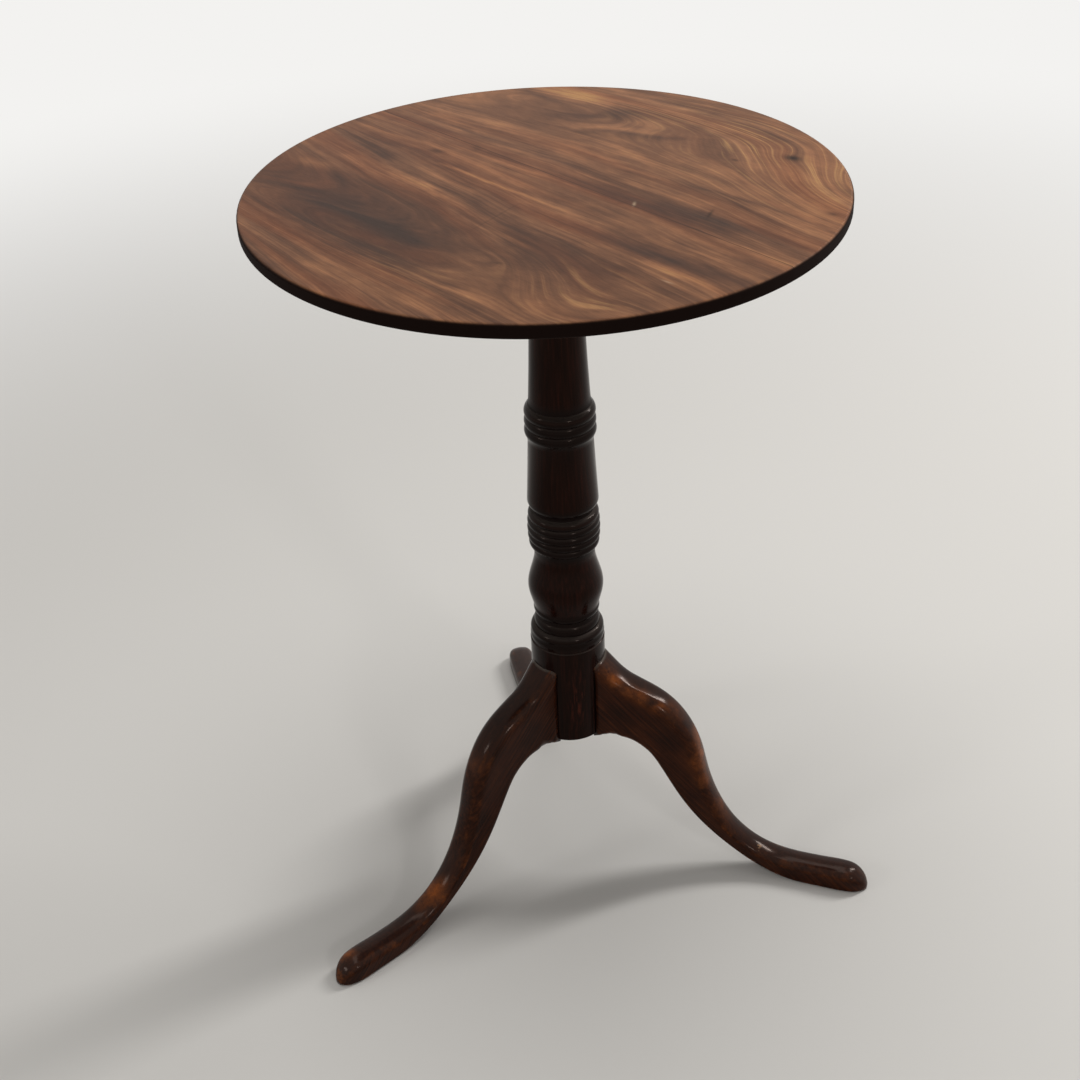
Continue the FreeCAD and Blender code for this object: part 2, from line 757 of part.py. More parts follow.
os.makedirs("parts", exist_ok=True)
front_board, back_board = make_boards()
save("top_board_front", front_board)
save("top_board_back", back_board)
save("bearer_left", make_bearer(-1))
save("bearer_right", make_bearer(1))
save("bearer_screws", bearer_screws(screw, -1) + bearer_screws(screw, 1))
save("tilt_block", make_block())
save("column", make_column())
save("tenon_wedges", make_wedges())
leg = make_leg()
for leg_name, leg_angle in leg_angles.items():
    save(leg_name, leg.copy().rotate(ORIGIN, ALONG_Z, leg_angle))
save("base_plate", make_base_plate())
save("base_plate_screws", make_plate_screws())
save("catch_plate", make_catch_plate())
save("catch_bolt", make_bolt())
save("catch_knob", make_knob())
save("catch_spring", make_spring())
save("catch_screws", catch_screws(screw))
save("strike_plate", make_strike())
save("strike_screws", strike_screws(screw))
print("table height %.1f, pintle axis at y %.1f z %.1f" % (top_face, pintle_offset, pintle_height))
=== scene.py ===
# %% [markdown]
# # A small tilt-top table
#
# The frame holds the table as it is built: boards, bearers, block, column, legs and brass catch. This
# lesson dresses it. Pieces whose finish has to follow their shape, such as the turned column and the
# carved legs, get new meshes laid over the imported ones. The rest keep their meshes and get materials.
# Lengths are in metres, or in millimetres where a name or a comment says so. The origin is on the floor
# under the column.

# %% Load the frame and keep its box
import bpy
import json
import math
from mathutils import Matrix, Vector
from mathutils.bvhtree import BVHTree


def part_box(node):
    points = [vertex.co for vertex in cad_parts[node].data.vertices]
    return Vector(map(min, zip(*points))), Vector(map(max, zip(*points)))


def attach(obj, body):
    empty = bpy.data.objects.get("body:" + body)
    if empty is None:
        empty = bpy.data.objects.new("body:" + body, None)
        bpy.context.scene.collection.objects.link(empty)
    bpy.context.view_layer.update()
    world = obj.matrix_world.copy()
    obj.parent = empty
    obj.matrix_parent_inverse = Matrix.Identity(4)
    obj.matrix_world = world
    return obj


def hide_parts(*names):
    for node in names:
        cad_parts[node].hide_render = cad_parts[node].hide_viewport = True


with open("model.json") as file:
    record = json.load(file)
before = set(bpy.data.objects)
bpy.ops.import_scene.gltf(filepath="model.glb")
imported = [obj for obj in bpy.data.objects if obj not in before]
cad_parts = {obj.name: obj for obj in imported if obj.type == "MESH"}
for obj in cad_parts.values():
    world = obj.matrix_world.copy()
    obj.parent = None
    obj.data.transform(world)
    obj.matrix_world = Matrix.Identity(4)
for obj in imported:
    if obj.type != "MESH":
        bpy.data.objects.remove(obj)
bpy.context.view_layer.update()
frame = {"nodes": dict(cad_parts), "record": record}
nodes = frame["nodes"]
MM = 0.001

# %% [markdown]
# ## A few small helpers
#
# Colours are picked as sRGB hex values, as on a paint chart, but shaders work in linear light, so one
# function converts them. Another adds a node, sets it up and links it, which keeps materials short. The
# others do what each finish needs: a material to start from, the stops of a colour ramp, the place in
# millimetres, coats of colour over one another, and the links to the shader at the end.


# %% Colour and node helpers
def colour(code):
    """An sRGB hex value such as #8A5A3C as linear RGBA."""
    channels = [int(code[i:i + 2], 16) / 255 for i in (1, 3, 5)]
    linear = [c / 12.92 if c <= 0.04045 else ((c + 0.055) / 1.055) ** 2.4 for c in channels]
    return (*linear, 1.0)


def output_of(value):
    """What to link from: a node stands for the first of its outputs that is in use."""
    if isinstance(value, bpy.types.Node):
        return next(socket for socket in value.outputs if socket.enabled)
    return value


def add(tree, kind, inputs=None, **settings):
    """A new node: settings are its properties, inputs its socket values, sockets or nodes to link."""
    node = tree.nodes.new(kind)
    for name, value in settings.items():
        setattr(node, name, value)
    for key, value in (inputs or {}).items():
        value = output_of(value)
        if isinstance(value, bpy.types.NodeSocket):
            tree.links.new(value, node.inputs[key])
        else:
            node.inputs[key].default_value = value
    return node


def new_material(name, **shader_inputs):
    """A material with a Principled shader whose constant inputs are set by name."""
    material = bpy.data.materials.new(name)
    material.use_nodes = True
    shader = material.node_tree.nodes["Principled BSDF"]
    for key, value in shader_inputs.items():
        shader.inputs[key.replace("_", " ")].default_value = value
    return material, material.node_tree, shader


def fill_ramp(ramp, stops):
    """Give a colour ramp its (position, hex) stops."""
    elements = ramp.color_ramp.elements
    while len(elements) < len(stops):
        elements.new(0.5)
    for element, (position, code) in zip(elements, stops):
        element.position = position
        element.color = colour(code)


def millimetres(tree):
    """The place on the object, in millimetres from its origin."""
    found = add(tree, "ShaderNodeTexCoord")
    return add(tree, "ShaderNodeVectorMath", {0: found.outputs["Object"], "Scale": 1 / MM}, operation="SCALE")


def coated(tree, wood, coats):
    """The wood under coats of other colours: each coat is (its share from 0 to 1, its hex value)."""
    for share, code in coats:
        wood = add(tree, "ShaderNodeMix", {"Factor": share, "A": wood, "B": colour(code)}, data_type="RGBA")
    return wood


def dress(tree, shader, finish, height, strength, depth):
    """Link a finish to the shader's sockets by their names, and bump it by a height in the grain."""
    bump = add(tree, "ShaderNodeBump", {"Height": height, "Strength": strength, "Distance": depth})
    for name, value in {**finish, "Normal": bump}.items():
        tree.links.new(output_of(value), shader.inputs[name])


# %% [markdown]
# ## Camera
#
# The photograph looks down at the table from about chest height. Its camera was worked out from the top's
# outline, the column and the legs: where it stood, how far it looked down, and a slight roll. A lens in
# millimetres on a 36 mm sensor gives the same field of view.

# %% Place the camera
# Angles are in degrees, and the last three values in pixels of the photograph
CAMERA_PLACE = Vector((974.8, -856.4, 1229.9)) * MM
CAMERA_AZIMUTH = 49.76
CAMERA_DOWN = 33.68
CAMERA_ROLL = 2.614
FOCAL_PIXELS = 1674.4
PHOTO_PIXELS = 1080
OPTICAL_CENTRE_X = 538.5

camera_data = bpy.data.cameras.new("camera")
camera_data.sensor_width = 36.0
camera_data.lens = camera_data.sensor_width * FOCAL_PIXELS / PHOTO_PIXELS
camera_data.shift_x = (PHOTO_PIXELS / 2 - OPTICAL_CENTRE_X) / PHOTO_PIXELS
camera = bpy.data.objects.new("camera", camera_data)
bpy.context.scene.collection.objects.link(camera)
turn = Matrix.Rotation(math.radians(CAMERA_AZIMUTH), 4, "Z")
tilt = Matrix.Rotation(math.radians(90 - CAMERA_DOWN), 4, "X")
roll = Matrix.Rotation(math.radians(-CAMERA_ROLL), 4, "Z")
camera.matrix_world = Matrix.Translation(CAMERA_PLACE) @ turn @ tilt @ roll
bpy.context.scene.camera = camera
bpy.context.scene.view_settings.view_transform = "Standard"
print("lens", round(camera_data.lens, 2), "mm")

# %% [markdown]
# ## Studio
#
# A plain pale floor carries the shadow, a hair below the feet. Further off it turns to white for the eye
# and for reflections, and so does the world, so that no edge shows between them in any view. The large
# soft lamp overhead lights the top. Three smaller ones draw the bright edges of knees and beads, the tall
# one at the back as a window would. For everything else the world is dim and only fills the shadows.

# %% Floor
FLOOR_HALF = 12.0
FLOOR_DROP = 0.0003
FLOOR_NEAR = 0.8
FLOOR_FAR = 2.6
STUDIO_WHITE = colour("#F3F2F0")


def seen_by_eye(tree):
    """1 for what the camera sees, also mirrored or through glass, and 0 for light on its way to a shadow."""
    path = add(tree, "ShaderNodeLightPath")
    seen = path.outputs["Is Camera Ray"]
    for ray in ("Is Glossy Ray", "Is Transmission Ray"):
        seen = add(tree, "ShaderNodeMath", {0: seen, 1: path.outputs[ray]}, operation="MAXIMUM")
    return seen


floor_mesh = bpy.data.meshes.new("studio_floor")
corners = [(-1, -1), (1, -1), (1, 1), (-1, 1)]
floor_corners = [(x * FLOOR_HALF, y * FLOOR_HALF, -FLOOR_DROP) for x, y in corners]
floor_mesh.from_pydata(floor_corners, [], [(0, 1, 2, 3)])
floor = bpy.data.objects.new("studio_floor", floor_mesh)
bpy.context.scene.collection.objects.link(floor)
material, tree, shader = new_material("matt_studio_floor", Base_Color=colour("#D3D0CB"), Roughness=0.9)
place = add(tree, "ShaderNodeTexCoord")
distance = add(tree, "ShaderNodeVectorMath", {0: place.outputs["Object"]}, operation="LENGTH")
share = add(tree, "ShaderNodeMapRange", {"Value": distance, "From Min": FLOOR_NEAR, "From Max": FLOOR_FAR},
            interpolation_type="SMOOTHSTEP")
white_share = add(tree, "ShaderNodeMath", {0: seen_by_eye(tree), 1: share}, operation="MULTIPLY")
white = add(tree, "ShaderNodeEmission", {"Color": STUDIO_WHITE, "Strength": 1.0})
surface = add(tree, "ShaderNodeMixShader", {0: white_share, 1: shader, 2: white})
# From below, the floor is clear, so that the underside of the table can be looked at
side = add(tree, "ShaderNodeNewGeometry")
clear = add(tree, "ShaderNodeBsdfTransparent")
one_sided = add(tree, "ShaderNodeMixShader", {0: side.outputs["Backfacing"], 1: surface, 2: clear})
tree.links.new(one_sided.outputs[0], tree.nodes["Material Output"].inputs["Surface"])
floor_mesh.materials.append(material)
print("floor:", 2 * FLOOR_HALF, "m square")

# %% Lamps and world
# Each lamp is (name, place, target, width, height, power in watts)
LAMPS = (
    ("overhead_softbox", (-0.3, 0.2, 3.2), (0, 0, 0.4), 2.0, 2.0, 37.0),
    ("back_softbox", (0.5, 2.2, 2.15), (0, 0, 0.3), 0.26, 1.2, 42.0),
    ("left_softbox", (-0.9, -2.6, 1.5), (0, 0, 0.4), 0.5, 0.5, 7.0),
    ("front_softbox", (2.6, -0.6, 1.6), (0, 0, 0.3), 0.3, 0.3, 8.0),
)
WORLD_FILL = 0.3


def soft_lamp(name, place, target, width, height, power):
    """An area lamp that looks at a point."""
    lamp_data = bpy.data.lights.new(name, "AREA")
    lamp_data.shape = "RECTANGLE"
    lamp_data.size = width
    lamp_data.size_y = height
    lamp_data.energy = power
    lamp = bpy.data.objects.new(name, lamp_data)
    bpy.context.scene.collection.objects.link(lamp)
    lamp.location = place
    lamp.rotation_euler = (Vector(target) - Vector(place)).to_track_quat("-Z", "Y").to_euler()


for lamp in LAMPS:
    soft_lamp(*lamp)
world = bpy.data.worlds.new("studio_world")
world.use_nodes = True
tree = world.node_tree
dim = tree.nodes["Background"]
dim.inputs["Color"].default_value = colour("#F4F3F1")
dim.inputs["Strength"].default_value = WORLD_FILL
white = add(tree, "ShaderNodeBackground", {"Color": STUDIO_WHITE, "Strength": 1.0})
sky = add(tree, "ShaderNodeMixShader", {0: seen_by_eye(tree), 1: dim, 2: white})
tree.links.new(sky.outputs[0], tree.nodes["World Output"].inputs["Surface"])
bpy.context.scene.world = world

# %% [markdown]
# ## Figured mahogany of the top
#
# Boards are sawn flat through a tree, so the surface cuts its growth layers at a shallow angle. Where a
# layer bulges, the cut shows as a loop or a flame. The figure is therefore one smooth height, in
# millimetres: straight lines along X that fan out, plus soft swells where the loops are. Streaks are noise
# read along that height, so that they bend round the swells as the grain does.

# %% A soft spot, used for the swells of the figure and for marks
soft_spot = bpy.data.node_groups.new("soft_spot", "ShaderNodeTree")
for name in ("Place", "Centre", "Radii", "Turn"):
    soft_spot.interface.new_socket(name, in_out="INPUT", socket_type="NodeSocketVector")
for name in ("Height", "Base"):
    soft_spot.interface.new_socket(name, in_out="INPUT", socket_type="NodeSocketFloat")
soft_spot.interface.new_socket("Value", in_out="OUTPUT", socket_type="NodeSocketFloat")
given = add(soft_spot, "NodeGroupInput")
local = add(soft_spot, "ShaderNodeMapping",
            {"Vector": given.outputs["Place"], "Location": given.outputs["Centre"],
             "Rotation": given.outputs["Turn"], "Scale": given.outputs["Radii"]}, vector_type="TEXTURE")
square = add(soft_spot, "ShaderNodeVectorMath", {0: local, 1: local}, operation="DOT_PRODUCT")
fall = add(soft_spot, "ShaderNodeMath", {0: square, 1: -1.0}, operation="MULTIPLY")
bell = add(soft_spot, "ShaderNodeMath", {0: fall}, operation="EXPONENT")
total = add(soft_spot, "ShaderNodeMath", {0: bell, 1: given.outputs["Height"], 2: given.outputs["Base"]},
            operation="MULTIPLY_ADD")
add(soft_spot, "NodeGroupOutput", {"Value": total})


def add_spots(tree, place, spots, base):
    """Add soft spots (x, y, half length, half width, turn in degrees, height) to a value."""
    for x, y, length, width, turn, height in spots:
        base = add(tree, "ShaderNodeGroup", {"Place": place, "Centre": (x, y, 0), "Radii": (length, width, 1),
                                             "Turn": (0, 0, math.radians(turn)), "Height": height,
                                             "Base": base}, node_tree=soft_spot)
    return base


def add_balls(tree, place, balls):
    """Add up round soft spots (x, y, z, radius, height) in space."""
    base = 0.0
    for x, y, z, radius, height in balls:
        base = add(tree, "ShaderNodeGroup", {"Place": place, "Centre": (x, y, z), "Radii": (radius,) * 3,
                                             "Height": height, "Base": base}, node_tree=soft_spot)
    return base


# %% Where the top lies, in millimetres
TOP_LOW, TOP_HIGH = [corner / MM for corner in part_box("top_board_front")]
JOINT_Y = TOP_HIGH.y
TOP_FACE = TOP_HIGH.z
TOP_BACK = TOP_LOW.z
TOP_RADIUS = (TOP_HIGH.x - TOP_LOW.x) / 2
TOP_CENTRE = ((TOP_LOW.x + TOP_HIGH.x) / 2, TOP_LOW.y + TOP_RADIUS, 0)
print("top:", round(2 * TOP_RADIUS), "mm across, boards joined at y", round(JOINT_Y, 1))

# %% The figure, and streaks that are drawn out along it
# The fan is how fast lines part, per millimetre along X. A draw is a streak's width over its length.
FAN = 0.0012
WANDER_MM = 28.0
WANDER_LENGTH_MM = 210
WANDER_WIDTH_MM = 80
BOARD_SHIFT_MM = 170.0
STREAK_MM = 17.0
STREAK_DRAW = 0.09
LINE_MM = 3.4
LINE_DRAW = 0.03

# Each swell, band and mark is (x, y, half length, half width, turn in degrees, height), in millimetres
FIGURE_SWELLS = (
    (-200, -180, 300, 45, 0, 110),
    (-160, 150, 205, 42, 8, -80),
    (230, 190, 110, 95, 0, 150),
    (102, 180, 22, 16, 0, 10),
    (168, -138, 52, 44, -25, 20),
)


def figure_height(tree, flat, x, y):
    """A fan of straight lines that wander a little, and the swells."""
    spread = add(tree, "ShaderNodeMath", {0: x, 1: FAN, 2: 1.0}, operation="MULTIPLY_ADD")
    straight = add(tree, "ShaderNodeMath", {0: y, 1: spread}, operation="DIVIDE")
    span = (1 / WANDER_LENGTH_MM, 1 / WANDER_WIDTH_MM, 1)
    slow = add(tree, "ShaderNodeMapping", {"Vector": flat, "Scale": span})
    wander = add(tree, "ShaderNodeTexNoise", {"Vector": slow, "Scale": 1.0, "Detail": 2.0, "Roughness": 0.5})
    figure = add(tree, "ShaderNodeMath", {0: wander, 1: WANDER_MM, 2: straight}, operation="MULTIPLY_ADD")
    return add_spots(tree, flat, FIGURE_SWELLS, figure)


def drawn_along(tree, figure, x, layer, width, draw, **noise):
    """Noise read along the figure: streaks of a width in millimetres, drawn out along the board."""
    along = add(tree, "ShaderNodeMath", {0: x, 1: draw}, operation="MULTIPLY")
    place = add(tree, "ShaderNodeCombineXYZ", {"X": figure, "Y": along, "Z": layer})
    return add(tree, "ShaderNodeTexNoise", {"Vector": place, "Scale": 1 / width, **noise})


print("figure:", len(FIGURE_SWELLS), "swells")

# %% The colours of the heartwood
MOTTLE_MM = 20.0
RAGGED_MM = 45.0
RAGGED_REACH_MM = Vector((40, 12, 0))
BLUSH_MM = 40.0
BLUSH_LAYER_MM = 90.0

# Heartwood varies in slow bands; a height is how far a band moves the wood along its range of colours
DARK_BANDS = (
    (60, 21, 80, 8, 1, -0.22),
    (60, 17.5, 140, 1.6, 1, -0.12),
    (155, 40, 95, 10, 6, -0.24),
    (140, -38, 110, 9, 4, -0.26),
    (95, -85, 90, 24, -6, -0.16),
    (-95, -145, 140, 48, -8, -0.24),
    (-10, -148, 45, 22, -28, -0.07),
    (-200, -55, 55, 12, 0, -0.09),
    (-135, -24, 75, 4, 2, -0.13),
    (-185, 18, 70, 13, 2, -0.09),
    (-80, 160, 26, 13, 15, -0.15),
    (-105, 132, 22, 10, 20, -0.12),
    (-35, 132, 55, 6, 27, -0.14),
    (-170, 142, 22, 4, -5, -0.13),
    (150, 86, 90, 2.5, 5, -0.1),
    (-110, 38, 110, 2.5, 2, -0.1),
    (118, -120, 75, 26, -6, -0.11),
    (-70, -226, 75, 16, 0, -0.08),
    (0, 128, 45, 22, 0, -0.06),
    (-70, 22, 45, 20, 0, -0.06),
    (-165, -38, 75, 28, 0, -0.05),
    (-20, -76, 40, 22, 0, -0.05),
)
LIGHT_BANDS = (
    (-148, 167, 40, 18, 10, 0.26),
    (130, 175, 55, 35, -45, 0.12),
    (-218, 115, 30, 36, 0, 0.1),
    (-45, -28, 75, 2.4, 1, 0.22),
    (-85, -72, 75, 4.5, -5, 0.2),
    (55, -92, 32, 3.5, 0, 0.16),
    (205, -51, 48, 5, -2, 0.16),
    (160, -126, 40, 24, -20, 0.06),
    (-195, -104, 32, 9, 8, 0.18),
    (15, -222, 65, 8, 2, 0.12),
    (-205, 45, 55, 5, 3, 0.1),
    (-200, -14, 48, 4, 6, 0.12),
    (195, 95, 45, 36, 0, 0.07),
    (0, 95, 36, 9, 5, 0.09),
    (-62, 124, 32, 5, 32, 0.12),
    (230, 15, 50, 8, 2, 0.09),
)
# Where the figure loops, growth layers show as thin golden threads
THREADED_PLACES = (
    (115, 165, 100, 65, 0, 0.9),
    (10, 190, 85, 38, 0, 0.7),
    (172, -128, 62, 44, -12, 0.5),
    (10, -182, 60, 24, 0, 0.35),
)


def heartwood(tree, figure, flat, x, streak, lines):
    """Smoky grey-brown through orange to gold, mottled as old polish is, in bands whose edges wander."""
    lined = add(tree, "ShaderNodeMix", {"Factor": 0.25, "A": streak, "B": lines})
    mottle_place = add(tree, "ShaderNodeMapping", {"Vector": flat, "Scale": (0.6, 1, 1)})
    mottle = add(tree, "ShaderNodeTexNoise", {"Vector": mottle_place, "Scale": 1 / MOTTLE_MM, "Detail": 3.0})
    level = add(tree, "ShaderNodeMix", {"Factor": 0.22, "A": lined, "B": mottle})
    ragged = add(tree, "ShaderNodeTexNoise", {"Vector": flat, "Scale": 1 / RAGGED_MM, "Detail": 3.0})
    strayed = add(tree, "ShaderNodeVectorMath", {0: ragged.outputs["Color"], 1: RAGGED_REACH_MM,
                                                 2: -RAGGED_REACH_MM / 2}, operation="MULTIPLY_ADD")
    loose = add(tree, "ShaderNodeVectorMath", {0: flat, 1: strayed}, operation="ADD")
    level = add_spots(tree, loose, DARK_BANDS + LIGHT_BANDS, level)
    body = add(tree, "ShaderNodeValToRGB", {"Fac": level})
    fill_ramp(body, [(0.22, "#3E2F28"), (0.37, "#563B2D"), (0.49, "#704D38"), (0.6, "#8E6245"),
                     (0.76, "#AC8052")])
    ruddy = drawn_along(tree, figure, x, BLUSH_LAYER_MM, BLUSH_MM, STREAK_DRAW, Detail=3.0)
    blush = add(tree, "ShaderNodeMapRange", {"Value": ruddy, "From Min": 0.48, "From Max": 0.66,
                                             "To Max": 0.36})
    threaded = add_spots(tree, loose, THREADED_PLACES, 0.0)
    crests = add(tree, "ShaderNodeMapRange", {"Value": lines, "From Min": 0.54, "From Max": 0.66,
                                              "To Max": 0.5})
    threads = add(tree, "ShaderNodeMath", {0: crests, 1: threaded}, operation="MULTIPLY")
    return coated(tree, body, ((blush, "#814A2E"), (threads, "#B08A58")))


print("heartwood:", len(DARK_BANDS), "dark and", len(LIGHT_BANDS), "light bands")

# %% Marks, glue line, and the rim's dirt and painted shade
DARK_MARKS = (
    (101.6, 180.2, 8.5, 6.0, 0, 1.0),
    (132.5, 47.0, 1.6, 8.5, 28, 0.7),
    (202.1, 111.7, 5.0, 3.2, 10, 0.6),
    (69.2, 144.3, 4.0, 2.2, 0, 0.6),
    (-133.0, -13.0, 8.0, 4.0, 10, 0.6),
    (-114.0, 15.0, 9.0, 4.0, -30, 0.35),
    (-74.0, 32.0, 8.0, 4.0, 20, 0.3),
    (-80.0, 150.0, 16.0, 7.0, 10, 0.3),
    (-40.0, 119.0, 26.0, 6.0, 25, 0.28),
    (-72.0, 104.0, 10.0, 4.0, 25, 0.4),
    (82.0, -127.0, 4.0, 2.0, 20, 0.4),
    (13.0, -70.0, 1.0, 30.0, 12, 0.25),
)
PALE_MARKS = (
    (75.0, 20.5, 1.3, 4.0, 40, 0.5),
    (196.0, -64.0, 5.0, 1.0, 5, 0.35),
)


def glue_share(tree, y):
    """How much of the glue line between the boards shows."""
    across = add(tree, "ShaderNodeMath", {0: y, 1: JOINT_Y}, operation="SUBTRACT")
    away = add(tree, "ShaderNodeMath", {0: across}, operation="ABSOLUTE")
    return add(tree, "ShaderNodeMapRange", {"Value": away, "From Min": 0.2, "From Max": 0.8, "To Min": 0.75,
                                            "To Max": 0.0})


def rim_dirt_and_shade_mask(tree, flat, z):
    """1 on the rounded rim and the edge below it, where polish and dirt have gathered and where shade is
    painted, and 0 on the flat of the top.
    """
    centred = add(tree, "ShaderNodeVectorMath", {0: flat, 1: TOP_CENTRE}, operation="SUBTRACT")
    radius = add(tree, "ShaderNodeVectorMath", {0: centred}, operation="LENGTH")
    outer = add(tree, "ShaderNodeMapRange", {"Value": radius, "From Min": TOP_RADIUS - 1.8,
                                             "From Max": TOP_RADIUS - 0.2}, interpolation_type="SMOOTHSTEP")
    below = add(tree, "ShaderNodeMapRange", {"Value": z, "From Min": TOP_FACE - 1.0,
                                             "From Max": TOP_FACE - 3.0})
    return add(tree, "ShaderNodeMath", {0: outer, 1: below}, operation="MAXIMUM")


print("marks:", len(DARK_MARKS), "dark,", len(PALE_MARKS), "pale")

# %% The top's whole finish
FIBRE_MM = 0.8
FIBRE_DRAW = 0.09


def figured_mahogany():
    """Flat-sawn mahogany under old french polish: loops and streaks, a satin surface, a rim darkened by dirt
    and painted shade.
    """
    material, tree, shader = new_material("figured_mahogany_french_polished", Specular_IOR_Level=0.04)
    place = millimetres(tree)
    x, y, z = add(tree, "ShaderNodeSeparateXYZ", {0: place}).outputs
    flat = add(tree, "ShaderNodeCombineXYZ", {"X": x, "Y": y})
    board = add(tree, "ShaderNodeMath", {0: y, 1: JOINT_Y}, operation="GREATER_THAN")
    shift = add(tree, "ShaderNodeMath", {0: board, 1: BOARD_SHIFT_MM}, operation="MULTIPLY")
    figure = figure_height(tree, flat, x, y)
    streak = drawn_along(tree, figure, x, shift, STREAK_MM, STREAK_DRAW, Detail=4.0, Roughness=0.55,
                         Distortion=0.2)
    lines = drawn_along(tree, figure, x, shift, LINE_MM, LINE_DRAW, Detail=3.0, Roughness=0.6)
    body = heartwood(tree, figure, flat, x, streak, lines)

    # Fine lines and fibre darken the colour a little, as closed pores do. Pores are finer than this in
    # life; at this size they show as the flecks that the eye reads as grain.
    fibre_place = add(tree, "ShaderNodeMapping", {"Vector": place, "Scale": (FIBRE_DRAW, 1, 1)})
    fibre = add(tree, "ShaderNodeTexNoise", {"Vector": fibre_place, "Scale": 1 / FIBRE_MM, "Detail": 3.0})
    thin = add(tree, "ShaderNodeMapRange", {"Value": lines, "From Min": 0.3, "From Max": 0.7, "To Min": 0.88,
                                            "To Max": 1.08})
    hair = add(tree, "ShaderNodeMapRange", {"Value": fibre, "From Min": 0.4, "From Max": 0.72, "To Min": 1.04,
                                            "To Max": 0.84})
    grain = add(tree, "ShaderNodeMath", {0: thin, 1: hair}, operation="MULTIPLY")
    grained = add(tree, "ShaderNodeVectorMath", {0: body, "Scale": grain}, operation="SCALE")
    dark = add_spots(tree, flat, DARK_MARKS, 0.0)
    pale = add_spots(tree, flat, PALE_MARKS, 0.0)
    rim_dirt_and_painted_shade = rim_dirt_and_shade_mask(tree, flat, z)
    # The rim's near-black coat is gathered dirt and also painted shade on the edge, which the lamps light
    # little
    edged = coated(tree, grained, ((dark, "#2A1C16"), (pale, "#B9A184"), (glue_share(tree, y), "#3A261C"),
                                   (rim_dirt_and_painted_shade, "#160C09")))

    # The underside never was polished: it is dry and brown, and matt
    under = add(tree, "ShaderNodeMapRange", {"Value": z, "From Min": TOP_BACK + 0.8,
                                             "From Max": TOP_BACK + 0.2})
    dry = add(tree, "ShaderNodeValToRGB", {"Fac": streak})
    fill_ramp(dry, [(0.3, "#3B2A21"), (0.5, "#50392B"), (0.7, "#654A38")])
    rough_sawn = add(tree, "ShaderNodeVectorMath", {0: dry, "Scale": grain}, operation="SCALE")
    whole = add(tree, "ShaderNodeMix", {"Factor": under, "A": edged, "B": rough_sawn}, data_type="RGBA")
    sheen = add(tree, "ShaderNodeMapRange", {"Value": streak, "To Min": 0.42, "To Max": 0.3})
    matt = add(tree, "ShaderNodeMath", {0: under, 1: rim_dirt_and_painted_shade}, operation="MAXIMUM")
    dull = add(tree, "ShaderNodeMath", {0: matt, 1: 0.4, 2: sheen}, operation="MULTIPLY_ADD")
    dress(tree, shader, {"Base Color": whole, "Roughness": dull}, grain, 0.12, 0.1 * MM)
    return material


top_wood = figured_mahogany()
print("top finish:", len(top_wood.node_tree.nodes), "nodes")

# %% [markdown]
# ## The turned column
#
# The column came off a lathe, so it is one outline turned round an axis, which is a rule that Geometry
# Nodes can follow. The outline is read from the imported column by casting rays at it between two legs.
# Each point also keeps its relief, which is how far it stands out from its surroundings, and how much the
# outline moves in and out there, so that the finish can darken grooves and ring groups and rub the beads.

# %% Read the column's outline
OUTLINE_STEP = 0.4 * MM
OUTLINE_TOLERANCE = 0.025 * MM
CLEAR_AZIMUTH = math.radians(-30)
RAY_START = 200 * MM
END_GAP = 0.01 * MM
TINY = 1e-9


def surface_of(node):
    """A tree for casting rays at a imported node's mesh."""
    mesh = nodes[node].data
    return BVHTree.FromPolygons([v.co for v in mesh.vertices], [p.vertices for p in mesh.polygons])


def thinned(points, tolerance):
    """Keep only the points that an outline needs (each kept point is the furthest from its chord)."""
    first, last = points[0], points[-1]
    chord = last - first
    offsets = [abs(chord.cross(p - first)) / max(chord.length, TINY) for p in points]
    far = max(range(len(points)), key=offsets.__getitem__)
    if offsets[far] <= tolerance or len(points) < 3:
        return [first, last]
    return thinned(points[:far + 1], tolerance)[:-1] + thinned(points[far:], tolerance)


column_low, column_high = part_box("column")
column_surface = surface_of("column")
outward = Vector((math.cos(CLEAR_AZIMUTH), math.sin(CLEAR_AZIMUTH), 0))
tall = column_high.z - column_low.z
steps = int(tall / OUTLINE_STEP)
outline = []
for i in range(steps + 1):
    height = column_low.z + END_GAP + (tall - 2 * END_GAP) * i / steps
    hit = column_surface.ray_cast(outward * RAY_START + Vector((0, 0, height)), -outward)[0]
    outline.append(Vector((math.hypot(hit.x, hit.y), height)))
column_face = max(p.x for p in outline)
kept = thinned(outline, OUTLINE_TOLERANCE)
print("outline:", len(outline), "samples,", len(kept), "kept")

# %% Measure where it stands out and where it is ringed
SURFACE_FACTS = ("relief", "ringed")
RELIEF_REACH = 7.0 * MM
RING_REACH = 3.0 * MM

radii = [p.x / MM for p in outline]
last = len(radii) - 1
near = round(RING_REACH / OUTLINE_STEP)
swings = [abs(radii[i] - (radii[max(0, i - near)] + radii[min(last, i + near)]) / 2) for i in range(last + 1)]
reach = round(RELIEF_REACH / OUTLINE_STEP)
surface_facts = {}
for i, point in enumerate(outline):
    around = slice(max(0, i - reach), i + reach + 1)
    relief = radii[i] - sum(radii[around]) / len(radii[around])
    surface_facts[point.y] = (relief, sum(swings[around]) / len(swings[around]))
print("relief:", round(min(f[0] for f in surface_facts.values()), 1), "to",
      round(max(f[0] for f in surface_facts.values()), 1), "mm")

# %% Turn it with Geometry Nodes
COLUMN_SIDES = 144
WELD_DISTANCE = 0.001 * MM


